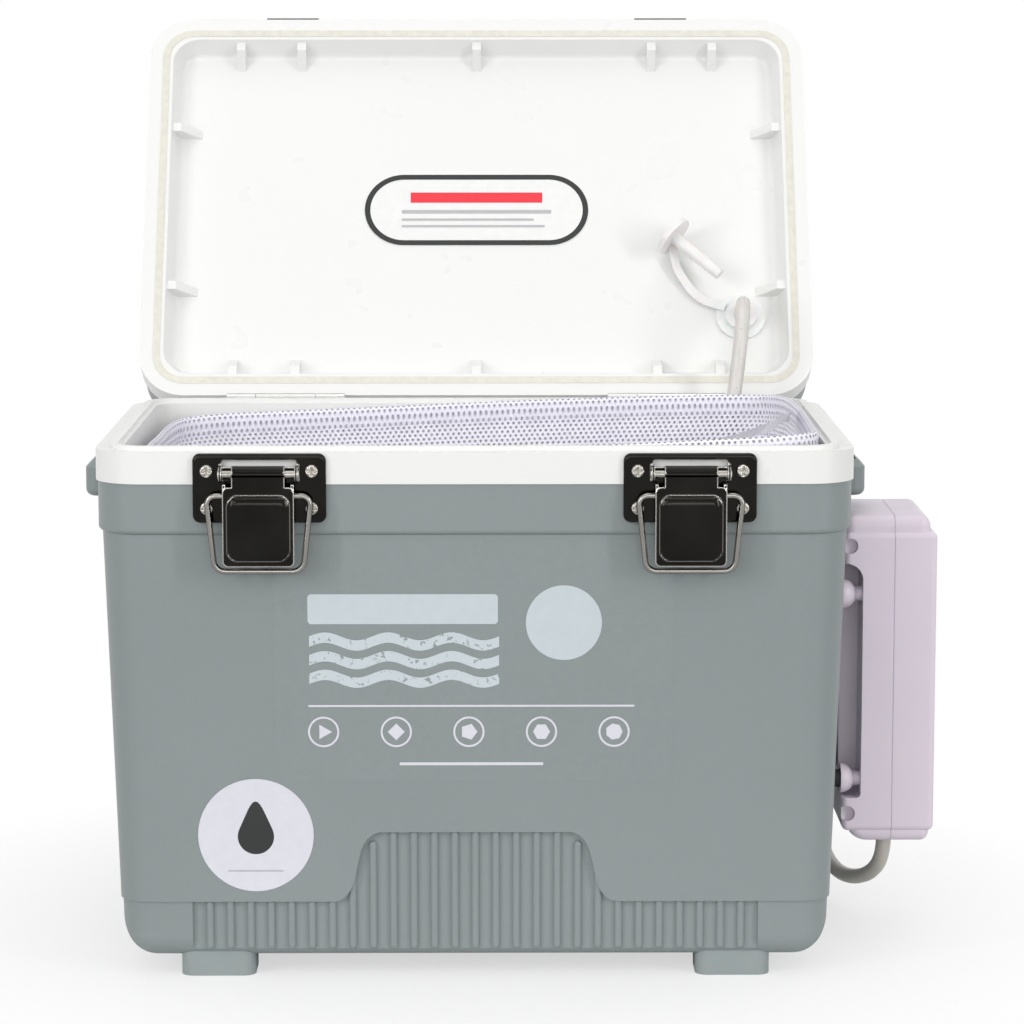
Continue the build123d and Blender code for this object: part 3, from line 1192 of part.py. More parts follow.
with BuildPart() as inner_air_tube:
    with BuildLine() as tube_route:
        FilletPolyline((BARB_X, 0, PUMP_Z[0] + PUMP_WALL + 4), (BARB_X, 0, 55),
                       (BARB_X, DRIVE_Y + 4, 59), (BARB_X, DRIVE_Y + 4, CHAMBER_Z[0] - 4), radius=[3.0, 3.0])
    with BuildSketch(Plane(origin=tube_route.line @ 0, z_dir=tube_route.line % 0)):
        Circle(TUBE_R)
    sweep()
save(inner_air_tube.part, "inner_air_tube")
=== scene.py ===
"""Looks of the insulated bait cooler: finishes, mesh net, hoses, printed films, light and camera."""
import json
import math
import bmesh
import bpy
from mathutils import Matrix, Vector, noise


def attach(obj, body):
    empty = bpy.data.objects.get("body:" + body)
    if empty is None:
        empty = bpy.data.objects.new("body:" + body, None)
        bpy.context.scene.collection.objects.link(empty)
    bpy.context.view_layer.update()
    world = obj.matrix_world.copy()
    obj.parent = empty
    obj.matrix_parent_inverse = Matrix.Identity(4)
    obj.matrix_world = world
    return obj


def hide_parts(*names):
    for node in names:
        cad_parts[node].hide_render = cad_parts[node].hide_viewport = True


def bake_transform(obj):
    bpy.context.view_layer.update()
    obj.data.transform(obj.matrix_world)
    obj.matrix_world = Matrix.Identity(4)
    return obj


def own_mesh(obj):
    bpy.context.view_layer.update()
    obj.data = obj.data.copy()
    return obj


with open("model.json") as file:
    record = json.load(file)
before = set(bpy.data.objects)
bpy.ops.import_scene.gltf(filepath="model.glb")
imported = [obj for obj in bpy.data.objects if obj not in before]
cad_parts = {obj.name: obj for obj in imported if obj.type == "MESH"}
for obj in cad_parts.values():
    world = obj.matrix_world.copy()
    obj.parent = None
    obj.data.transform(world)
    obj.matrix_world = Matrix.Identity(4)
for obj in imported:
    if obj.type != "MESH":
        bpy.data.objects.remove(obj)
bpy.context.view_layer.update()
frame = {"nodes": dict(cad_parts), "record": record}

MM = 0.001

# ---------------------------------------------------------------- driving dimensions, metres
HINGE_Y, HINGE_Z = 0.0975, 0.2135     # lid pivot line
LID_OPEN = math.radians(120)          # modelled opening angle of the lid
RECESS_FLOOR = 0.2254                 # inner panel of the closed lid
FACE_Y_TOP = 0.0926                   # front face just under the band
FACE_TOP_Z = 0.1803
FACE_SLOPE = 0.0344                   # draft of the front face
HOSE_DIAMETER = 0.0064

# Camera of the reference view: focal length in pixels of a 1024-pixel-wide frame.
FOCAL_PIXELS = 3657.2
FRAME_PIXELS = 1024
SENSOR = 36.0
CAMERA_AT = (0.00538, -1.5126, 0.3865)
CAMERA_PITCH = math.radians(7.91)
CAMERA_HEADING = math.radians(0.37)


# ---------------------------------------------------------------- geometry helpers
def face_y(z):
    """Y of the drafted front face at height z."""
    return -(FACE_Y_TOP - (FACE_TOP_Z - z) * FACE_SLOPE)


def open_lid(point):
    """Moves a point of the closed lid to where it lies on the open lid."""
    arm = Vector((point[0], point[1] - HINGE_Y, point[2] - HINGE_Z))
    arm = Matrix.Rotation(-LID_OPEN, 3, "X") @ arm
    return Vector((arm.x, arm.y + HINGE_Y, arm.z + HINGE_Z))


def add_mesh(name, vertices, faces, material, body, smooth=True):
    """A mesh piece that rides on a body and takes one material."""
    data = bpy.data.meshes.new(name)
    data.from_pydata([tuple(v) for v in vertices], [], faces)
    data.materials.append(material)
    data.polygons.foreach_set("use_smooth", [smooth] * len(data.polygons))
    piece = bpy.data.objects.new(name, data)
    bpy.context.scene.collection.objects.link(piece)
    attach(piece, body)
    return piece


def disc_points(centre_x, centre_z, radius, lift, count=64):
    """Points of a circle that lies on the drafted front face, lifted off it."""
    points = []
    for i in range(count):
        angle = 2 * math.pi * i / count
        x = centre_x + radius * math.cos(angle)
        z = centre_z + radius * math.sin(angle)
        points.append(Vector((x, face_y(z) - lift, z)))
    return points


def ring_mesh(name, outer, inner, material, body):
    """A flat ring between two loops of equally many points."""
    count = len(outer)
    faces = [(i, (i + 1) % count, count + (i + 1) % count, count + i) for i in range(count)]
    return add_mesh(name, outer + inner, faces, material, body, smooth=False)


def fill_mesh(name, outline, material, body):
    """A flat filled shape."""
    return add_mesh(name, outline, [tuple(range(len(outline)))], material, body, smooth=False)


# ---------------------------------------------------------------- material helpers
class Finish:
    """A material with a Principled shader and short calls for its texture nodes."""

    def __init__(self, name, colour, roughness, metallic=0.0):
        self.material = bpy.data.materials.new(name)
        self.material.use_nodes = True
        self.nodes = self.material.node_tree.nodes
        self.links = self.material.node_tree.links
        self.shader = self.nodes["Principled BSDF"]
        self.set("Base Color", (*colour, 1.0))
        self.set("Roughness", roughness)
        self.set("Metallic", metallic)
        self.coordinates = self.nodes.new("ShaderNodeTexCoord").outputs["Object"]

    def set(self, socket, value):
        self.shader.inputs[socket].default_value = value

    def link(self, output, socket):
        self.links.new(output, self.shader.inputs[socket])

    def stretched(self, stretch):
        """Object coordinates scaled per axis."""
        node = self.nodes.new("ShaderNodeMapping")
        node.inputs["Scale"].default_value = stretch
        self.links.new(self.coordinates, node.inputs["Vector"])
        return node.outputs["Vector"]

    def noise(self, scale, detail=4.0, stretch=(1, 1, 1), distortion=0.0):
        node = self.nodes.new("ShaderNodeTexNoise")
        node.inputs["Scale"].default_value = scale
        node.inputs["Detail"].default_value = detail
        node.inputs["Distortion"].default_value = distortion
        self.links.new(self.stretched(stretch), node.inputs["Vector"])
        return node.outputs["Fac"]

    def spread(self, value, low, high, start=0.3, end=0.7):
        """Maps a value from start..end to low..high, clamped."""
        node = self.nodes.new("ShaderNodeMapRange")
        node.inputs["From Min"].default_value = start
        node.inputs["From Max"].default_value = end
        node.inputs["To Min"].default_value = low
        node.inputs["To Max"].default_value = high
        self.links.new(value, node.inputs["Value"])
        return node.outputs["Result"]

    def math(self, operation, first, second):
        node = self.nodes.new("ShaderNodeMath")
        node.operation = operation
        for slot, value in zip(node.inputs, (first, second)):
            if isinstance(value, (int, float)):
                slot.default_value = value
            else:
                self.links.new(value, slot)
        return node.outputs[0]

    def mix(self, factor, first, second):
        """A colour between two colours, each a triple or an output."""
        node = self.nodes.new("ShaderNodeMix")
        node.data_type = "RGBA"
        self.links.new(factor, node.inputs["Factor"])
        for name, value in (("A", first), ("B", second)):
            slot = [s for s in node.inputs if s.name == name and s.type == "RGBA"][0]
            if isinstance(value, tuple):
                slot.default_value = (*value, 1.0)
            else:
                self.links.new(value, slot)
        return [s for s in node.outputs if s.type == "RGBA"][0]

    def soft_edges(self, radius):
        """Normals rounded over the sharp edges of pressed metal."""
        node = self.nodes.new("ShaderNodeBevel")
        node.samples = 8
        node.inputs["Radius"].default_value = radius
        return node.outputs["Normal"]

    def painted_highlight_mask(self, rounded):
        """Mask of the painted edge highlight: 1 where rounded normals turn away from the flat faces, 0 on
        the flats.
        """
        flat = self.nodes.new("ShaderNodeNewGeometry").outputs["True Normal"]
        node = self.nodes.new("ShaderNodeVectorMath")
        node.operation = "DOT_PRODUCT"
        self.links.new(rounded, node.inputs[0])
        self.links.new(flat, node.inputs[1])
        return self.spread(node.outputs["Value"], 1, 0, 0.80, 0.995)

    def bump(self, height, strength, distance, normal=None):
        node = self.nodes.new("ShaderNodeBump")
        if normal:
            self.links.new(normal, node.inputs["Normal"])
        node.inputs["Strength"].default_value = strength
        node.inputs["Distance"].default_value = distance
        self.links.new(height, node.inputs["Height"])
        self.link(node.outputs["Normal"], "Normal")


def shade(colour, factor):
    """A colour made darker or lighter by a factor."""
    return tuple(channel * factor for channel in colour)


# ---------------------------------------------------------------- finishes
SHELL_GREY = (0.226, 0.256, 0.258)
LINER_WHITE = (0.79, 0.79, 0.775)
NICKEL = (0.016, 0.0155, 0.014)
PAINTED_EDGE_HIGHLIGHT = (0.80, 0.77, 0.72)       # painted highlight: pale colour painted on the nickel where a pressed edge turns away from its face
EDGE_RADIUS = 0.0009                  # how far in from an edge the normals are rounded and the painted highlight reaches
PUMP_LILAC = (0.70, 0.625, 0.71)
PALE_INK = (0.53, 0.59, 0.62)


def grey_shell():
    """Satin polypropylene with a fine moulded grain, faint flow marks and light scuffs."""
    finish = Finish("grey_shell", SHELL_GREY, 0.42)
    cloud = finish.spread(finish.noise(9, 3), 0, 1)
    speck = finish.spread(finish.noise(900, 2), 0, 1, 0.45, 0.75)
    base = finish.mix(cloud, shade(SHELL_GREY, 0.97), shade(SHELL_GREY, 1.03))
    speckle = finish.math("MULTIPLY", speck, 0.25)
    finish.link(finish.mix(speckle, base, shade(SHELL_GREY, 1.12)), "Base Color")
    scuff = finish.noise(60, 6, stretch=(0.4, 1, 2.5))
    finish.link(finish.spread(scuff, 0.40, 0.45, 0.55, 0.8), "Roughness")
    finish.bump(finish.noise(1500, 3), 0.10, 0.0003)
    finish.set("Specular IOR Level", 0.42)
    return finish.material


def white_liner():
    """Glossy white moulding with very faint flow marks and a fine polish."""
    finish = Finish("white_liner", LINER_WHITE, 0.3)
    cloud = finish.spread(finish.noise(6, 2), 0, 1)
    finish.link(finish.mix(cloud, shade(LINER_WHITE, 0.985), LINER_WHITE), "Base Color")
    finish.link(finish.spread(finish.noise(40, 2), 0.27, 0.33), "Roughness")
    finish.bump(finish.noise(1400, 2), 0.02, 0.0002)
    return finish.material


def dark_nickel(name, colour=NICKEL, roughness=0.11):
    """Black-nickel plate over pressed steel: dark flats, a painted highlight along the edges, ripples and
    fine brushing.
    """
    finish = Finish(name, colour, roughness, metallic=1.0)
    brushed = finish.noise(700, 3, stretch=(1, 1, 12))
    finish.link(finish.spread(finish.noise(70, 4), roughness - 0.03, roughness + 0.06), "Roughness")
    rounded = finish.soft_edges(EDGE_RADIUS)
    plate = finish.mix(finish.spread(finish.noise(35, 3), 0, 1), shade(colour, 0.75), shade(colour, 1.2))
    # Painted highlight: a pale colour mixed into the base colour where the edges round off.
    finish.link(finish.mix(finish.painted_highlight_mask(rounded), plate, PAINTED_EDGE_HIGHLIGHT), "Base Color")
    ripple = finish.math("ADD", finish.math("MULTIPLY", brushed, 0.1), finish.noise(140, 2))
    finish.bump(ripple, 0.05, 0.0006, rounded)
    return finish.material


def bright_wire():
    """Drawn stainless wire with fine lengthwise scratches."""
    finish = Finish("bright_wire", (0.24, 0.23, 0.215), 0.16, metallic=1.0)
    finish.link(finish.spread(finish.noise(400, 3, stretch=(1, 1, 0.1)), 0.12, 0.3), "Roughness")
    finish.bump(finish.noise(900, 2, stretch=(1, 1, 0.1)), 0.05, 0.0003)
    return finish.material


def hinge_steel():
    """Stainless sheet, lightly brushed."""
    finish = Finish("hinge_steel", (0.50, 0.50, 0.49), 0.26, metallic=1.0)
    finish.link(finish.spread(finish.noise(500, 4, stretch=(0.1, 1, 1)), 0.2, 0.4), "Roughness")
    finish.bump(finish.noise(800, 3, stretch=(0.1, 1, 1)), 0.06, 0.0003)
    return finish.material


def pump_case():
    """Lilac-grey moulded case with a very fine grain and a soft sheen."""
    finish = Finish("pump_case", PUMP_LILAC, 0.38)
    cloud = finish.spread(finish.noise(22, 3), 0, 1)
    finish.link(finish.mix(cloud, shade(PUMP_LILAC, 0.98), shade(PUMP_LILAC, 1.02)), "Base Color")
    finish.link(finish.spread(finish.noise(90, 4), 0.33, 0.44), "Roughness")
    finish.bump(finish.noise(1700, 2), 0.05, 0.0002)
    finish.set("Subsurface Weight", 0.08)
    finish.set("Subsurface Scale", 0.003)
    return finish.material


def soft_plastic(name, colour, roughness, grain, transmission=0.0, cloudiness=0.05):
    """Silicone or soft plastic: a little cloudy, finely pitted."""
    finish = Finish(name, colour, roughness)
    cloud = finish.spread(finish.noise(80, 4), 0, 1)
    darker, lighter = shade(colour, 1 - cloudiness), shade(colour, 1 + cloudiness)
    finish.link(finish.mix(cloud, darker, lighter), "Base Color")
    finish.link(finish.spread(finish.noise(grain, 3), roughness - 0.03, roughness + 0.04), "Roughness")
    finish.bump(finish.noise(grain * 4, 2), 0.03, 0.0003)
    finish.set("Subsurface Weight", 0.25)
    finish.set("Subsurface Scale", 0.004)
    finish.set("Transmission Weight", transmission)
    return finish.material


def foam(name, colour):
    """Closed-cell foam: matt with small cells."""
    finish = Finish(name, colour, 0.9)
    cells = finish.spread(finish.noise(300, 4), 0, 1)
    finish.link(finish.mix(cells, shade(colour, 0.9), colour), "Base Color")
    finish.bump(finish.noise(1100, 3), 0.35, 0.0006)
    return finish.material


def sintered_stone():
    """Pale blue sintered grains of the air stone."""
    finish = Finish("sintered_stone", (0.40, 0.48, 0.56), 0.85)
    grains = finish.noise(1300, 3)
    dark_grain, pale_grain = (0.28, 0.36, 0.45), (0.55, 0.62, 0.68)
    finish.link(finish.mix(finish.spread(grains, 0, 1), dark_grain, pale_grain), "Base Color")
    finish.bump(grains, 0.7, 0.0008)
    return finish.material


def ink(name, colour, roughness=0.35):
    """Printed film: an even colour with a trace of mottle."""
    finish = Finish(name, colour, roughness)
    mottle = finish.spread(finish.noise(300, 3), 0, 1)
    finish.link(finish.mix(mottle, shade(colour, 0.96), colour), "Base Color")
    finish.link(finish.spread(finish.noise(60, 3), roughness - 0.05, roughness + 0.06), "Roughness")
    return finish.material


def worn_ink():
    """Pale print with small chips where the shell shows through."""
    finish = Finish("worn_ink", PALE_INK, 0.38)
    chips = finish.spread(finish.noise(520, 4, distortion=0.6), 0, 1, 0.60, 0.66)
    finish.link(finish.mix(chips, PALE_INK, shade(SHELL_GREY, 1.1)), "Base Color")
    finish.link(finish.spread(finish.noise(80, 3), 0.33, 0.44), "Roughness")
    return finish.material


WEAVE_PITCH = (0.0024, 0.0036)      # spacing of the net's holes along a row and between like rows
HOLE_RADIUS = 0.00050


def net_mesh():
    """Knitted nylon: rows of small round holes, staggered, between rounded threads."""
    colour = (0.85, 0.835, 0.92)
    finish = Finish("net_mesh", colour, 0.5)
    weave = finish.nodes.new("ShaderNodeUVMap")
    weave.uv_map = "weave"
    nearest = None
    for shift in (0.0, 0.5):
        place = finish.nodes.new("ShaderNodeVectorMath")
        place.operation = "MULTIPLY_ADD"
        place.inputs[1].default_value = (1 / WEAVE_PITCH[0], 1 / WEAVE_PITCH[1], 0)
        place.inputs[2].default_value = (shift, shift, 0)
        cell, middle, away = (finish.nodes.new("ShaderNodeVectorMath") for _ in range(3))
        cell.operation, middle.operation, away.operation = "FRACTION", "MULTIPLY_ADD", "LENGTH"
        middle.inputs[1].default_value = (*WEAVE_PITCH, 0)
        middle.inputs[2].default_value = (-WEAVE_PITCH[0] / 2, -WEAVE_PITCH[1] / 2, 0)
        finish.links.new(weave.outputs["UV"], place.inputs[0])
        finish.links.new(place.outputs[0], cell.inputs[0])
        finish.links.new(cell.outputs[0], middle.inputs[0])
        finish.links.new(middle.outputs[0], away.inputs[0])
        distance = away.outputs["Value"]
        nearest = distance if nearest is None else finish.math("MINIMUM", nearest, distance)
    finish.link(finish.spread(nearest, 0, 1, HOLE_RADIUS * 0.92, HOLE_RADIUS * 1.08), "Alpha")
    thread = finish.spread(nearest, 0, 1, HOLE_RADIUS, HOLE_RADIUS * 1.7)
    # Painted shade: the threads' colour darkens towards the holes, where they round off; the same mask
    # gives their bump.
    finish.link(finish.mix(thread, shade(colour, 0.9), colour), "Base Color")
    finish.bump(thread, 0.6, 0.0004)
    finish.set("Sheen Weight", 0.25)
    return finish.material


def hem_tape_finish():
    """Woven binding tape with fine ribs across it."""
    colour = (0.88, 0.88, 0.90)
    finish = Finish("hem_tape", colour, 0.5)
    rib = finish.noise(420, 3, stretch=(1, 1, 0.15))
    finish.link(finish.mix(finish.spread(rib, 0, 1), shade(colour, 0.88), colour), "Base Color")
    finish.bump(rib, 0.4, 0.0005)
    return finish.material


MATERIALS = {
    "grey_shell": grey_shell(),
    "white_liner": white_liner(),
    "foam": foam("core_foam", (0.80, 0.74, 0.55)),
    "foot_plastic": soft_plastic("foot_plastic", (0.27, 0.305, 0.305), 0.34, 300, cloudiness=0.02),
    "screw_steel": dark_nickel("screw_nickel", (0.30, 0.285, 0.26), 0.18),
    "hinge_steel": hinge_steel(),
    "latch_steel": dark_nickel("latch_nickel"),
    "wire_steel": bright_wire(),
    "gasket_foam": foam("gasket_foam", (0.74, 0.72, 0.64)),
    "label": ink("label_white", (0.80, 0.80, 0.79)),
    "white_silicone": soft_plastic("white_silicone", (0.78, 0.78, 0.77), 0.35, 500),
    "clear_hose": soft_plastic("clear_hose", (0.74, 0.72, 0.69), 0.3, 400, transmission=0.2),
    "outer_hose": soft_plastic("outer_hose", (0.56, 0.55, 0.50), 0.34, 400, transmission=0.15),
    "stone": sintered_stone(),
    "black_rubber": soft_plastic("black_rubber", (0.022, 0.022, 0.022), 0.6, 700),
    "pump_case": pump_case(),
    "dark_plastic": ink("dark_plastic", (0.045, 0.045, 0.05), 0.45),
    "cell_metal": hinge_steel(),
    "net_mesh": net_mesh(),
    "hem_tape": hem_tape_finish(),
    "ink_white": ink("ink_white", (0.66, 0.66, 0.72)),
    "ink_pale": ink("ink_pale", PALE_INK),
    "worn_ink": worn_ink(),
    "ink_black": ink("ink_black", (0.012, 0.014, 0.014)),
    "ink_red": ink("ink_red", (0.80, 0.03, 0.05)),
    "ink_grey": ink("ink_grey", (0.45, 0.45, 0.46)),
    "clear_film": ink("clear_film", shade(SHELL_GREY, 1.03), 0.3),
}

SMOOTH_ANGLE = math.radians(30)


def smooth_by_angle(piece, angle=SMOOTH_ANGLE):
    """Smooth shading with creases kept where faces meet at more than the angle."""
    piece.data.polygons.foreach_set("use_smooth", [True] * len(piece.data.polygons))
    piece.data.set_sharp_from_angle(angle=angle)


for part in frame["record"]["subparts"]:
    node, slot_name = frame["nodes"][part["node"]], part["material_slot"]
    if slot_name in MATERIALS:
        node.data.materials.clear()
        node.data.materials.append(MATERIALS[slot_name])


# ---------------------------------------------------------------- pressed latch levers
LEVER_CENTRES = {"left": -0.0842, "right": 0.0842}
SHEET_FRONT = -0.1052                 # y of the lever's flat sheet
PILLOW_MARGIN = 0.00005               # what stands further out than this belongs to the flat-topped pillow
CROWN_RISE = 0.0016
CROWN_SHOULDER = 0.0038               # how far in from its edge the crown levels off
CROWN_HALF_WIDTH = 0.0122
CROWN_Z = (0.1716, 0.1973)
CROWN_CORNER = 0.0042
CROWN_STEPS = (40, 42)
CROWN_FALLOFF = 2.4                   # how steeply the crown rises at its edge
CROWN_MARGIN = 0.0002                 # how far the crown's grid goes past the pillow
SHEET_GAP = 0.00002                   # crown grid in front of the flat sheet
PILLOW_SHRINK = 0.98                  # keeps the crown inside the solid pillow


def crown_height(x, z):
    """Rise of the pressed pillow above the sheet, at x from its middle and height z."""
    middle, half = sum(CROWN_Z) / 2, (CROWN_Z[1] - CROWN_Z[0]) / 2
    dx = abs(x) - (CROWN_HALF_WIDTH - CROWN_CORNER)
    dz = abs(z - middle) - (half - CROWN_CORNER)
    inside = CROWN_CORNER - math.hypot(max(dx, 0), max(dz, 0)) - min(max(dx, dz), 0)
    level = 1 - min(max(inside, 0) / CROWN_SHOULDER, 1)
    return CROWN_RISE * (1 - level ** CROWN_FALLOFF) if inside > 0 else 0


def pressed_lever(side):
    """The lever with its flat-topped pillow swapped for a softly crowned one."""
    name = f"latch_lever_{side}"
    mesh = bmesh.new()
    mesh.from_mesh(frame["nodes"][name].data)
    pillow_from = SHEET_FRONT - PILLOW_MARGIN
    pillow = [face for face in mesh.faces if min(v.co.y for v in face.verts) < pillow_from]
    bmesh.ops.delete(mesh, geom=pillow, context="FACES")
    centre, (columns, rows) = LEVER_CENTRES[side], CROWN_STEPS
    grid = []
    for row in range(rows + 1):
        z = CROWN_Z[0] - CROWN_MARGIN + (CROWN_Z[1] - CROWN_Z[0] + 2 * CROWN_MARGIN) * row / rows
        for column in range(columns + 1):
            x = (CROWN_HALF_WIDTH + CROWN_MARGIN) * (2 * column / columns - 1)
            y = SHEET_FRONT - SHEET_GAP - crown_height(x, z) * PILLOW_SHRINK
            grid.append(mesh.verts.new((centre + x, y, z)))
    for row in range(rows):
        for column in range(columns):
            start = row * (columns + 1) + column
            mesh.faces.new([grid[k] for k in (start, start + 1, start + columns + 2, start + columns + 1)])
    data = bpy.data.meshes.new(f"pressed_lever_{side}")
    mesh.to_mesh(data)
    mesh.free()
    data.materials.clear()
    data.materials.append(MATERIALS["latch_steel"])
    piece = bpy.data.objects.new(f"pressed_lever_{side}", data)
    bpy.context.scene.collection.objects.link(piece)
    smooth_by_angle(piece)
    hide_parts(name)
    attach(piece, name)


for side in LEVER_CENTRES:
    pressed_lever(side)


# ---------------------------------------------------------------- hoses
OUTER_ROUTE = [(172.4, 0, 40), (172.4, 0, 29.5), (168.0, 8.5, 19.5), (160.5, 21, 14.8), (154.5, 36, 15.6),
               (151.5, 54, 20.5), (150, 76, 29), (148, 99, 42), (144, 123, 60), (138.5, 147, 80),
               (132, 168, 101), (126, 188, 124), (122, 200, 148), (120, 203, 172), (119.5, 196, 195),
               (119, 182.5, 213.5), (119, 167, 225.3), (119, 154.903, 232.285)]
INNER_ROUTE = [(119, 126.844, 248.485), (119, 115.6, 255), (118, 100, 254.5), (116.5, 88, 243),
               (114, 82.5, 224), (111, 79.8, 200), (108.5, 78.6, 165), (107, 77.2, 128), (106, 74.5, 92),
               (104.5, 69, 62), (101.5, 63, 45), (98, 57, 33), (92, 48, 29.3), (86, 39, 29.3)]


def hose(name, node, route, material):
    """A round hose along its route, as a mesh tube, and the points of its centre line."""
    curve = bpy.data.curves.new(name, "CURVE")
    curve.dimensions = "3D"
    curve.resolution_u = 10
    spline = curve.splines.new("NURBS")
    spline.points.add(len(route) - 1)
    for point, place in zip(spline.points, route):
        point.co = (*(value * MM for value in place), 1)
    spline.order_u = 3
    spline.use_endpoint_u = True
    line = bpy.data.objects.new(name + "_line", curve)
    centre = [tuple(vertex.co) for vertex in bpy.data.meshes.new_from_object(line).vertices]
    curve.bevel_depth = HOSE_DIAMETER / 2
    curve.bevel_resolution = 6
    curve.use_fill_caps = True
    data = bpy.data.meshes.new_from_object(line)
    bpy.data.objects.remove(line)
    data.materials.clear()
    data.materials.append(material)
    piece = bpy.data.objects.new(name, data)
    bpy.context.scene.collection.objects.link(piece)
    smooth_by_angle(piece, math.radians(60))
    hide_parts(node)
    return piece, centre


outer_hose, outer_line = hose("outer_air_hose", "hose_outer", OUTER_ROUTE,
                              MATERIALS["outer_hose"])
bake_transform(outer_hose)

inner_hose, inner_line = hose("inner_air_hose", "hose_inner", INNER_ROUTE,
                              MATERIALS["clear_hose"])
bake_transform(inner_hose)


# ---------------------------------------------------------------- lift-out net
# Rim of the net as it hangs in the tub, in mm: it sits higher at the right, where it bulges.
NET_RIM = [(-131, -62, 210.5), (-124, -76, 212.5), (-100, -79.5, 213.2), (-50, -80, 213.2), (0, -80, 213.3),
           (50, -80, 214.4), (89, -80, 216.2), (112, -79.5, 217.2), (127, -76, 218), (134.5, -66, 218),
           (136, -45, 217), (136, -15, 218), (135, 12, 219.5), (132.5, 40, 220), (129, 58, 219.2),
           (120, 71, 218), (95, 75.5, 217.2), (60, 76, 216.3), (20, 76, 215), (-15, 76, 213.5),
           (-50, 75.5, 211.9), (-85, 75, 210.5), (-112, 73, 209.4), (-127, 65, 208.4), (-131.5, 45, 207.6),
           (-132, 10, 208), (-132, -30, 209.3)]
NET_BOTTOM = (-108, 108, -58, 51.5, 9)      # x and y limits of the bottom panel, corner radius
NET_BOTTOM_Z = 72.4
NET_CENTRE = (0, -3)
NET_AROUND = 288                            # columns round the rim
NET_DOWN = 34                               # rows down the walls
NET_PANEL = 14                              # rows in from the edge of the bottom panel
NET_SAG = 3.4                               # how far the walls sway inwards, mm
NET_SIDE_LENGTH, NET_PANEL_LENGTH = 135, 50   # lengths of wall and panel that the weave is scaled to, mm
NET_FOLDS = 23                              # shallow folds round the walls
WAVE_SIZE = 38                              # size of the walls' irregular waves, mm
PANEL_RISE, PANEL_WAVE_SIZE = 1.6, 30       # unevenness of the bottom panel, mm
HEM_DEPTH = 9.5
HEM_STEP = 1.6                              # distance along the hem between the points of its section
# Section of the folded hem: distance outwards from the rim line and height below it, mm.
HEM_SECTION = [(1.5, 9.3), (1.9, 7.5), (2.0, 4.5), (1.9, 2), (1.3, 0.5), (0.5, 0), (-0.3, 0.5), (-0.6, 2),
               (-0.5, 5), (-0.3, 8)]
# Loose end of the hem tape, which cuts across the front right corner: centre points, mm.
TAPE_ROUTE = [(88, -76.5, 214.2), (97, -68, 215.2), (106, -57, 216.2), (114, -45, 217.2), (121, -32, 218.2),
              (127, -18, 219), (131, -4, 219.2), (133, 9, 218.2)]
TAPE_WIDTH = 5.5
TAPE_ALONG, TAPE_ACROSS = 60, 5             # points along and across the tape


def smooth_loop(points, count, closed=True):
    """Evenly spaced points along a smooth curve through the given points."""
    dense = []
    total = len(points)
    spans = total if closed else total - 1
    for i in range(spans):
        if closed:
            before, start, end, after = (points[(i + k) % total] for k in (-1, 0, 1, 2))
        else:
            before, start, end, after = (points[min(max(i + k, 0), total - 1)] for k in (-1, 0, 1, 2))
        for step in range(24):
            t = step / 24
            dense.append(0.5 * ((2 * start) + (end - before) * t
                                + (2 * before - 5 * start + 4 * end - after) * t * t
                                + (3 * start - before - 3 * end + after) * t ** 3))
    dense.append(dense[0] if closed else points[-1])
    lengths = [0]
    for first, second in zip(dense, dense[1:]):
        lengths.append(lengths[-1] + (second - first).length)
    steps = count if closed else count - 1
    result, k = [], 0
    for i in range(count):
        wanted = lengths[-1] * i / steps
        while k < len(dense) - 2 and lengths[k + 1] < wanted:
            k += 1
        part = (wanted - lengths[k]) / max(lengths[k + 1] - lengths[k], 1e-9)
        result.append(dense[k].lerp(dense[k + 1], part))
    return result, lengths[-1]


def bottom_point(direction):
    """Where a ray from the net's centre meets the rounded outline of the bottom panel."""
    x_low, x_high, y_low, y_high, radius = NET_BOTTOM
    low, high = 0.0, 400.0
    for _ in range(40):
        middle = (low + high) / 2
        x, y = NET_CENTRE[0] + direction.x * middle, NET_CENTRE[1] + direction.y * middle
        dx = max(x_low + radius - x, x - x_high + radius, 0)
        dy = max(y_low + radius - y, y - y_high + radius, 0)
        low, high = (middle, high) if math.hypot(dx, dy) < radius else (low, middle)
    return Vector((NET_CENTRE[0] + direction.x * low, NET_CENTRE[1] + direction.y * low, NET_BOTTOM_Z))


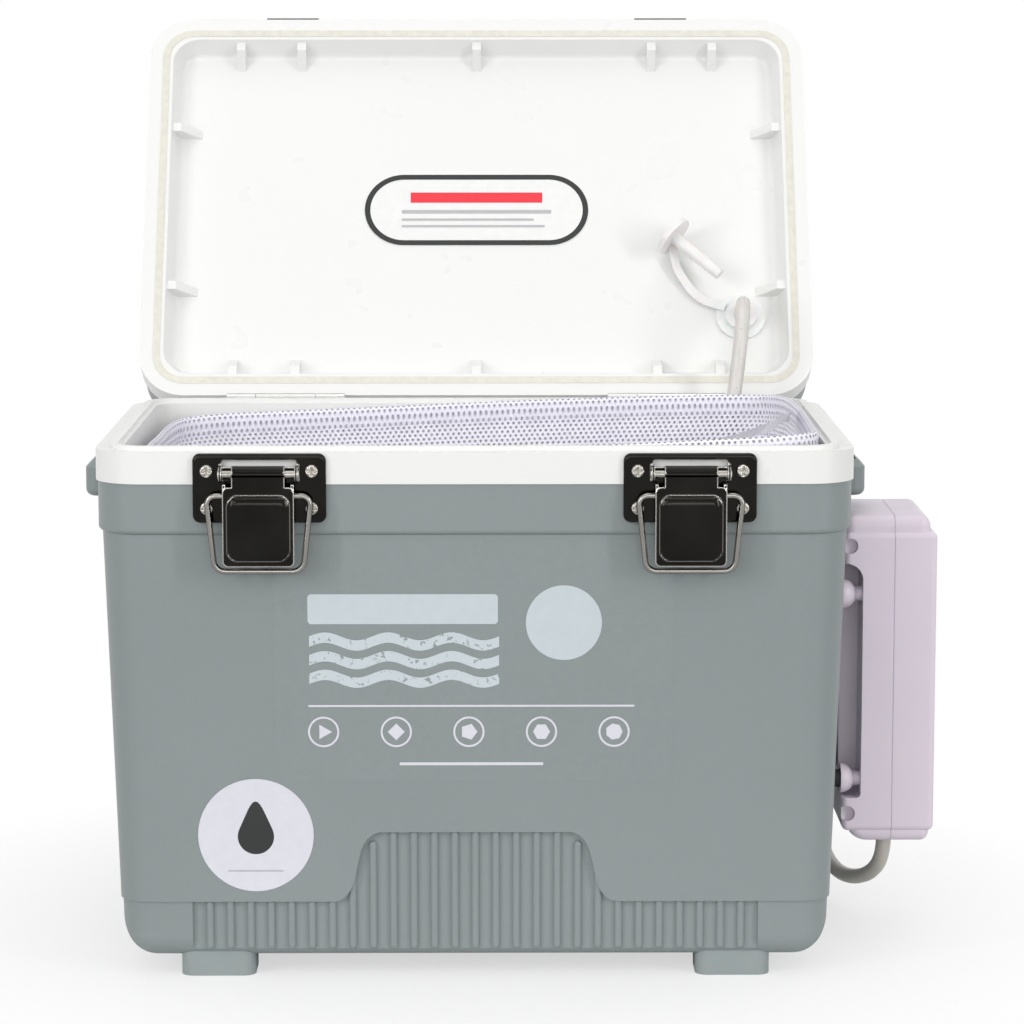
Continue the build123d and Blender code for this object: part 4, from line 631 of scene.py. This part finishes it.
def net_bag():
    """The bag: folded hem, swaying walls and a bottom panel, with metre coordinates for its weave."""
    rim, around = smooth_loop([Vector(p) for p in NET_RIM], NET_AROUND)
    centre = Vector((*NET_CENTRE, 0))
    outward, foot = [], []
    for i, point in enumerate(rim):
        along = rim[(i + 1) % NET_AROUND] - rim[i - 1]
        outward.append(Vector((along.y, -along.x, 0)).normalized())
        foot.append(bottom_point((Vector((point.x, point.y, 0)) - centre).normalized()))
    rows, depths = [], []
    depth = 0.0
    for out, drop in HEM_SECTION:
        rows.append([point + outward[i] * out - Vector((0, 0, drop)) for i, point in enumerate(rim)])
        depths.append(depth)
        depth += HEM_STEP
    for k in range(NET_DOWN + 1):
        t = k / NET_DOWN
        row = []
        for i, point in enumerate(rim):
            start = point - outward[i] * 0.1 - Vector((0, 0, HEM_DEPTH))
            place = start.lerp(foot[i], t)
            wave = noise.noise(Vector((point.x / WAVE_SIZE, point.y / WAVE_SIZE, t * 1.6 + 3)))
            ripple = math.sin(i / NET_AROUND * math.tau * NET_FOLDS + 2.5 * wave) * 0.35 + 0.65 * wave
            sway = NET_SAG * math.sin(math.pi * min(t * 1.15, 1)) * (1 + 0.9 * ripple)
            pucker = 0.25 * math.sin(i * 0.9) * (1 - t)
            row.append(place - outward[i] * (max(sway, 0) + pucker))
        rows.append(row)
        depths.append(depth + t * NET_SIDE_LENGTH)
    last = depths[-1]
    for k in range(1, NET_PANEL + 1):
        t = k / (NET_PANEL + 0.6)
        row = []
        for i, point in enumerate(foot):
            place = point.lerp(Vector((*NET_CENTRE, NET_BOTTOM_Z)), t)
            uneven = noise.noise(Vector((place.x / PANEL_WAVE_SIZE, place.y / PANEL_WAVE_SIZE, 9)))
            place.z += PANEL_RISE * abs(uneven) * min(t * 5, 1)
            row.append(place)
        rows.append(row)
        depths.append(last + NET_PANEL_LENGTH * t)
    vertices = [vertex * MM for row in rows for vertex in row]
    faces = []
    for k in range(len(rows) - 1):
        for i in range(NET_AROUND):
            j = (i + 1) % NET_AROUND
            faces.append((k * NET_AROUND + j, k * NET_AROUND + i, (k + 1) * NET_AROUND + i,
                          (k + 1) * NET_AROUND + j))
    faces.append(tuple((len(rows) - 1) * NET_AROUND + i for i in reversed(range(NET_AROUND))))
    bag = add_mesh("mesh_net", vertices, faces, MATERIALS["net_mesh"], "net")
    weave = bag.data.uv_layers.new(name="weave")
    wall_rows = len(HEM_SECTION) + NET_DOWN
    for face in bag.data.polygons:
        row = face.vertices[1] // NET_AROUND
        for corner in face.loop_indices:
            vertex = bag.data.loops[corner].vertex_index
            if row >= wall_rows or len(face.vertices) > 4:
                place = bag.data.vertices[vertex].co
                weave.data[corner].uv = (place.x, place.y)
            else:
                column = vertex % NET_AROUND
                if column == 0 and NET_AROUND - 1 in [v % NET_AROUND for v in face.vertices]:
                    column = NET_AROUND
                across = around * column / NET_AROUND
                weave.data[corner].uv = (across * MM, depths[vertex // NET_AROUND] * MM)
    return bag


def hem_tape():
    """The loose end of the woven hem tape: a narrow ribbon on edge, leaning and slightly rippled."""
    line, _ = smooth_loop([Vector(p) for p in TAPE_ROUTE], TAPE_ALONG, closed=False)
    vertices, faces = [], []
    for i, point in enumerate(line):
        along = line[min(i + 1, TAPE_ALONG - 1)] - line[max(i - 1, 0)]
        inward = Vector((-along.y, along.x, 0)).normalized()
        lean = math.radians(28 + 8 * math.sin(i * 0.31))
        for k in range(TAPE_ACROSS):
            across = k / (TAPE_ACROSS - 1)
            drop = TAPE_WIDTH * across
            bulge = 0.5 * math.sin(math.pi * across) + 0.25 * math.sin(i * 0.8 + k)
            vertices.append((point + inward * (drop * math.sin(lean) + bulge)
                             - Vector((0, 0, drop * math.cos(lean)))) * MM)
    for i in range(TAPE_ALONG - 1):
        for k in range(TAPE_ACROSS - 1):
            start = i * TAPE_ACROSS + k
            faces.append((start, start + 1, start + TAPE_ACROSS + 1, start + TAPE_ACROSS))
    return add_mesh("hem_tape", vertices, faces, MATERIALS["hem_tape"], "net")


net = net_bag()
tape = hem_tape()
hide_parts("bait_net", "net_hem")
for piece in (net, tape):
    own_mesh(piece)


# ---------------------------------------------------------------- label in the lid
LABEL_CENTRE_Y = -0.0015
LABEL_FACE = RECESS_FLOOR - 0.0005 - 0.00008     # just in front of the plate's face
LABEL_HALF = (0.051, 0.018)
LABEL_BORDER = (0.0001, 0.0026)                  # from the label's edge: outer and inner side of its border
# Generic bars: x from and to, y from the label's centre, height, colour name.
LABEL_BARS = [(-0.030, 0.030, 0.0062, 0.0052, "ink_red"), (-0.034, 0.034, -0.0010, 0.0018, "ink_grey"),
              (-0.034, 0.026, -0.0050, 0.0012, "ink_grey"), (-0.034, 0.031, -0.0083, 0.0012, "ink_grey")]


def stadium(half_long, half_wide, count=24):
    """Outline of a bar with round ends, around the origin."""
    points = []
    for side in (1, -1):
        for i in range(count + 1):
            angle = -math.pi / 2 + math.pi * i / count
            points.append((side * (half_long - half_wide + half_wide * math.cos(angle)),
                           side * half_wide * math.sin(angle)))
    return points


def on_label(x, y):
    """A point of the label's face on the open lid, x to the right and y up as it is read."""
    return open_lid((x, LABEL_CENTRE_Y - y, LABEL_FACE))


def label_print():
    """The label's border and bars."""
    half_long, half_wide = LABEL_HALF
    outer, inner = ([on_label(x, y) for x, y in stadium(half_long - inset, half_wide - inset)]
                    for inset in LABEL_BORDER)
    ring_mesh("label_border", outer, inner, MATERIALS["ink_black"], "lid")
    for number, (start, end, y, height, colour) in enumerate(LABEL_BARS):
        low, high = y - height / 2, y + height / 2
        corners = [(start, low), (end, low), (end, high), (start, high)]
        fill_mesh(f"label_bar_{number}", [on_label(*c) for c in corners], MATERIALS[colour], "lid")


# ---------------------------------------------------------------- printed films on the front
FILM_LIFT, PRINT_LIFT, MARK_LIFT = 0.00006, 0.00014, 0.00022     # film, prints on it, marks on those
FILM = (-0.0795, 0.078, 0.081, 0.178, 0.006)       # x limits, z limits, corner radius
BANNER = (-0.066, 0.009, 0.1445, 0.1565)            # x limits, z limits
BANNER_ROUND = 0.0015
# Discs: centre x and z, radius, colour. Rings: centre x and z, radius. Rules: x limits, z, height.
DISCS = [(-0.0873, 0.0589, 0.023, "ink_white"), (0.035, 0.145, 0.015, "ink_pale")]
RINGS = [(-0.060 + 0.02875 * i, 0.101, 0.0062) for i in range(5)]
RING_LINE = 0.0008
MARK_RADIUS = 0.0034                                # polygons of 3 to 7 corners inside the rings
RULES = [(-0.066, 0.063, 0.1115, 0.0008), (-0.030, 0.027, 0.088, 0.0012)]
WAVES = 3
WAVE_Z = (0.1225, 0.0075)                          # height of the lowest wave and their spacing
WAVE_SPAN = (-0.0655, 0.0095)
WAVE_HEIGHT, WAVE_SWING, WAVE_LENGTH = 0.0042, 0.0016, 0.025
WAVE_STEPS = 72
DROP_CENTRE = (-0.0873, 0.0605)
DROP_RADIUS = 0.0072
DISC_RULE = (-0.0985, -0.0765, 0.0440, 0.0006)      # x limits, lower edge, height


def on_front(x, z, lift):
    """A point of the drafted front face, lifted off it."""
    return Vector((x, face_y(z) - lift, z))


def front_rectangle(name, x_from, x_to, z_from, z_to, radius, lift, material):
    """A filled rectangle with round corners on the drafted front face."""
    points = []
    for x, z, turn in ((x_to - radius, z_to - radius, 0), (x_from + radius, z_to - radius, 1),
                       (x_from + radius, z_from + radius, 2), (x_to - radius, z_from + radius, 3)):
        for i in range(9):
            angle = math.pi / 2 * (turn + i / 8)
            points.append(on_front(x + radius * math.cos(angle), z + radius * math.sin(angle), lift))
    return fill_mesh(name, points, MATERIALS[material], "cooler_body")


def wave_band(name, z):
    """One wavy stripe across the film."""
    upper, lower = [], []
    for i in range(WAVE_STEPS + 1):
        x = WAVE_SPAN[0] + (WAVE_SPAN[1] - WAVE_SPAN[0]) * i / WAVE_STEPS
        middle = z + WAVE_SWING * math.sin(math.tau * (x - WAVE_SPAN[0]) / WAVE_LENGTH)
        upper.append(on_front(x, middle + WAVE_HEIGHT / 2, PRINT_LIFT))
        lower.append(on_front(x, middle - WAVE_HEIGHT / 2, PRINT_LIFT))
    row = WAVE_STEPS + 1
    faces = [(row + i, row + 1 + i, i + 1, i) for i in range(WAVE_STEPS)]
    add_mesh(name, upper + lower, faces, MATERIALS["worn_ink"], "cooler_body", smooth=False)


def water_drop():
    """A plain black drop: a circle drawn up to a point."""
    points = []
    for i in range(48):
        angle = math.tau * i / 48
        stretch = max(math.sin(angle), 0) ** 5
        x = DROP_CENTRE[0] + DROP_RADIUS * math.cos(angle)
        z = DROP_CENTRE[1] + DROP_RADIUS * (math.sin(angle) - 0.3 + 1.0 * stretch)
        points.append(on_front(x, z, MARK_LIFT))
    fill_mesh("water_drop", points, MATERIALS["ink_black"], "cooler_body")


def front_prints():
    """Films and prints of the front face, all plain shapes."""
    for number in range(WAVES):
        wave_band(f"wave_{number}", WAVE_Z[0] + WAVE_Z[1] * number)
    water_drop()
    x_from, x_to, z, height = DISC_RULE
    front_rectangle("disc_rule", x_from, x_to, z, z + height, height / 3, MARK_LIFT, "ink_grey")
    front_rectangle("clear_film", *FILM, FILM_LIFT, "clear_film")
    front_rectangle("banner", *BANNER, BANNER_ROUND, PRINT_LIFT, "ink_pale")
    for number, (x, z, radius, colour) in enumerate(DISCS):
        fill_mesh(f"disc_{number}", disc_points(x, z, radius, PRINT_LIFT), MATERIALS[colour], "cooler_body")
    for number, (x, z, radius) in enumerate(RINGS):
        outer, inner = (disc_points(x, z, r, PRINT_LIFT) for r in (radius, radius - RING_LINE))
        ring_mesh(f"ring_{number}", outer, inner, MATERIALS["ink_white"], "cooler_body")
        fill_mesh(f"ring_mark_{number}", disc_points(x, z, MARK_RADIUS, PRINT_LIFT, 3 + number),
                  MATERIALS["ink_white"], "cooler_body")
    for number, (x_from, x_to, z, height) in enumerate(RULES):
        low, high = z - height / 2, z + height / 2
        front_rectangle(f"rule_{number}", x_from, x_to, low, high, height / 3, PRINT_LIFT, "ink_white")


label_print()
front_prints()


# ---------------------------------------------------------------- stage, light and camera
FLOOR_WHITE = 0.6                     # how much of the floor's own light and shade white replaces
FLOOR_FADE = (0.14, 0.30)             # distance from the middle over which the floor fades away
WORLD_LEVEL = 0.45
# Name, place, target, width and height, power in watts.
LIGHTS = [("key", (-0.9, -1.4, 0.75), (0, 0, 0.2), (0.9, 0.9), 6),
          ("fill", (1.2, -1.0, 0.6), (0, 0, 0.15), (0.6, 1.0), 2.5),
          ("front", (0.1, -2.0, 0.5), (0, 0, 0.2), (1.2, 0.5), 6.5),
          ("top", (0.0, 0.1, 1.5), (0, 0, 0.1), (1.2, 0.9), 5),
          ("strip_left", (-1.1, -0.9, 0.6), (0, -0.1, 0.19), (0.07, 0.9), 4.5),
          ("strip_right", (1.1, -0.9, 0.6), (0, -0.1, 0.19), (0.07, 0.9), 4.5),
          ("strip_over", (0.0, -0.9, 1.35), (0, -0.1, 0.19), (1.2, 0.06), 1.2)]


def stage_floor():
    """A pale floor that fades into the white surroundings away from the cooler."""
    finish = Finish("floor", (0.93, 0.93, 0.93), 0.6)
    distance = finish.nodes.new("ShaderNodeVectorMath")
    distance.operation = "LENGTH"
    finish.links.new(finish.coordinates, distance.inputs[0])
    fade = finish.spread(distance.outputs["Value"], 0, 1, *FLOOR_FADE)
    clear = finish.nodes.new("ShaderNodeBsdfTransparent")
    white = finish.nodes.new("ShaderNodeEmission")
    white.inputs["Strength"].default_value = 1.0
    camera_ray = finish.nodes.new("ShaderNodeLightPath").outputs["Is Camera Ray"]
    seen = finish.math("MULTIPLY", camera_ray, FLOOR_WHITE)
    paler = finish.nodes.new("ShaderNodeMixShader")
    finish.links.new(seen, paler.inputs["Fac"])
    finish.links.new(finish.shader.outputs[0], paler.inputs[1])
    finish.links.new(white.outputs[0], paler.inputs[2])
    mixer = finish.nodes.new("ShaderNodeMixShader")
    finish.links.new(fade, mixer.inputs["Fac"])
    finish.links.new(paler.outputs[0], mixer.inputs[1])
    finish.links.new(clear.outputs[0], mixer.inputs[2])
    finish.links.new(mixer.outputs[0], finish.nodes["Material Output"].inputs["Surface"])
    bpy.ops.mesh.primitive_plane_add(size=6.0, location=(0, 0, 0))
    floor = bpy.context.object
    floor.name = "stage_floor"
    floor.data.materials.append(finish.material)


def world_light(level):
    """White to the camera, to gloss and through clear parts; a plain grey level as light."""
    world = bpy.data.worlds.new("studio")
    bpy.context.scene.world = world
    world.use_nodes = True
    nodes, links = world.node_tree.nodes, world.node_tree.links
    light, white = nodes["Background"], nodes.new("ShaderNodeBackground")
    light.inputs["Color"].default_value = (1, 1, 1, 1)
    light.inputs["Strength"].default_value = level
    white.inputs["Color"].default_value = (1, 1, 1, 1)
    path = nodes.new("ShaderNodeLightPath")
    either, seen = (nodes.new("ShaderNodeMath") for _ in range(2))
    either.operation = seen.operation = "MAXIMUM"
    links.new(path.outputs["Is Camera Ray"], either.inputs[0])
    links.new(path.outputs["Is Transmission Ray"], either.inputs[1])
    links.new(either.outputs[0], seen.inputs[0])
    links.new(path.outputs["Is Glossy Ray"], seen.inputs[1])
    mixer = nodes.new("ShaderNodeMixShader")
    links.new(seen.outputs[0], mixer.inputs["Fac"])
    links.new(light.outputs[0], mixer.inputs[1])
    links.new(white.outputs[0], mixer.inputs[2])
    links.new(mixer.outputs[0], nodes["World Output"].inputs["Surface"])


def area_light(name, place, target, size, power):
    """A rectangular lamp that faces its target."""
    data = bpy.data.lights.new(name, "AREA")
    data.shape = "RECTANGLE"
    data.size, data.size_y = size
    data.energy = power
    lamp = bpy.data.objects.new(name, data)
    lamp.location = place
    lamp.rotation_euler = (Vector(target) - Vector(place)).to_track_quat("-Z", "Y").to_euler()
    bpy.context.scene.collection.objects.link(lamp)


def place_camera():
    """The reference view of the photograph."""
    data = bpy.data.cameras.new("camera")
    data.sensor_width = SENSOR
    data.lens = FOCAL_PIXELS / FRAME_PIXELS * SENSOR
    data.clip_start = 0.05
    camera = bpy.data.objects.new("camera", data)
    camera.location = CAMERA_AT
    camera.rotation_euler = (math.radians(90) - CAMERA_PITCH, 0, -CAMERA_HEADING)
    bpy.context.scene.collection.objects.link(camera)
    bpy.context.scene.camera = camera


stage_floor()
world_light(WORLD_LEVEL)
for light in LIGHTS:
    area_light(*light)
place_camera()
bpy.context.scene.view_settings.view_transform = "Standard"
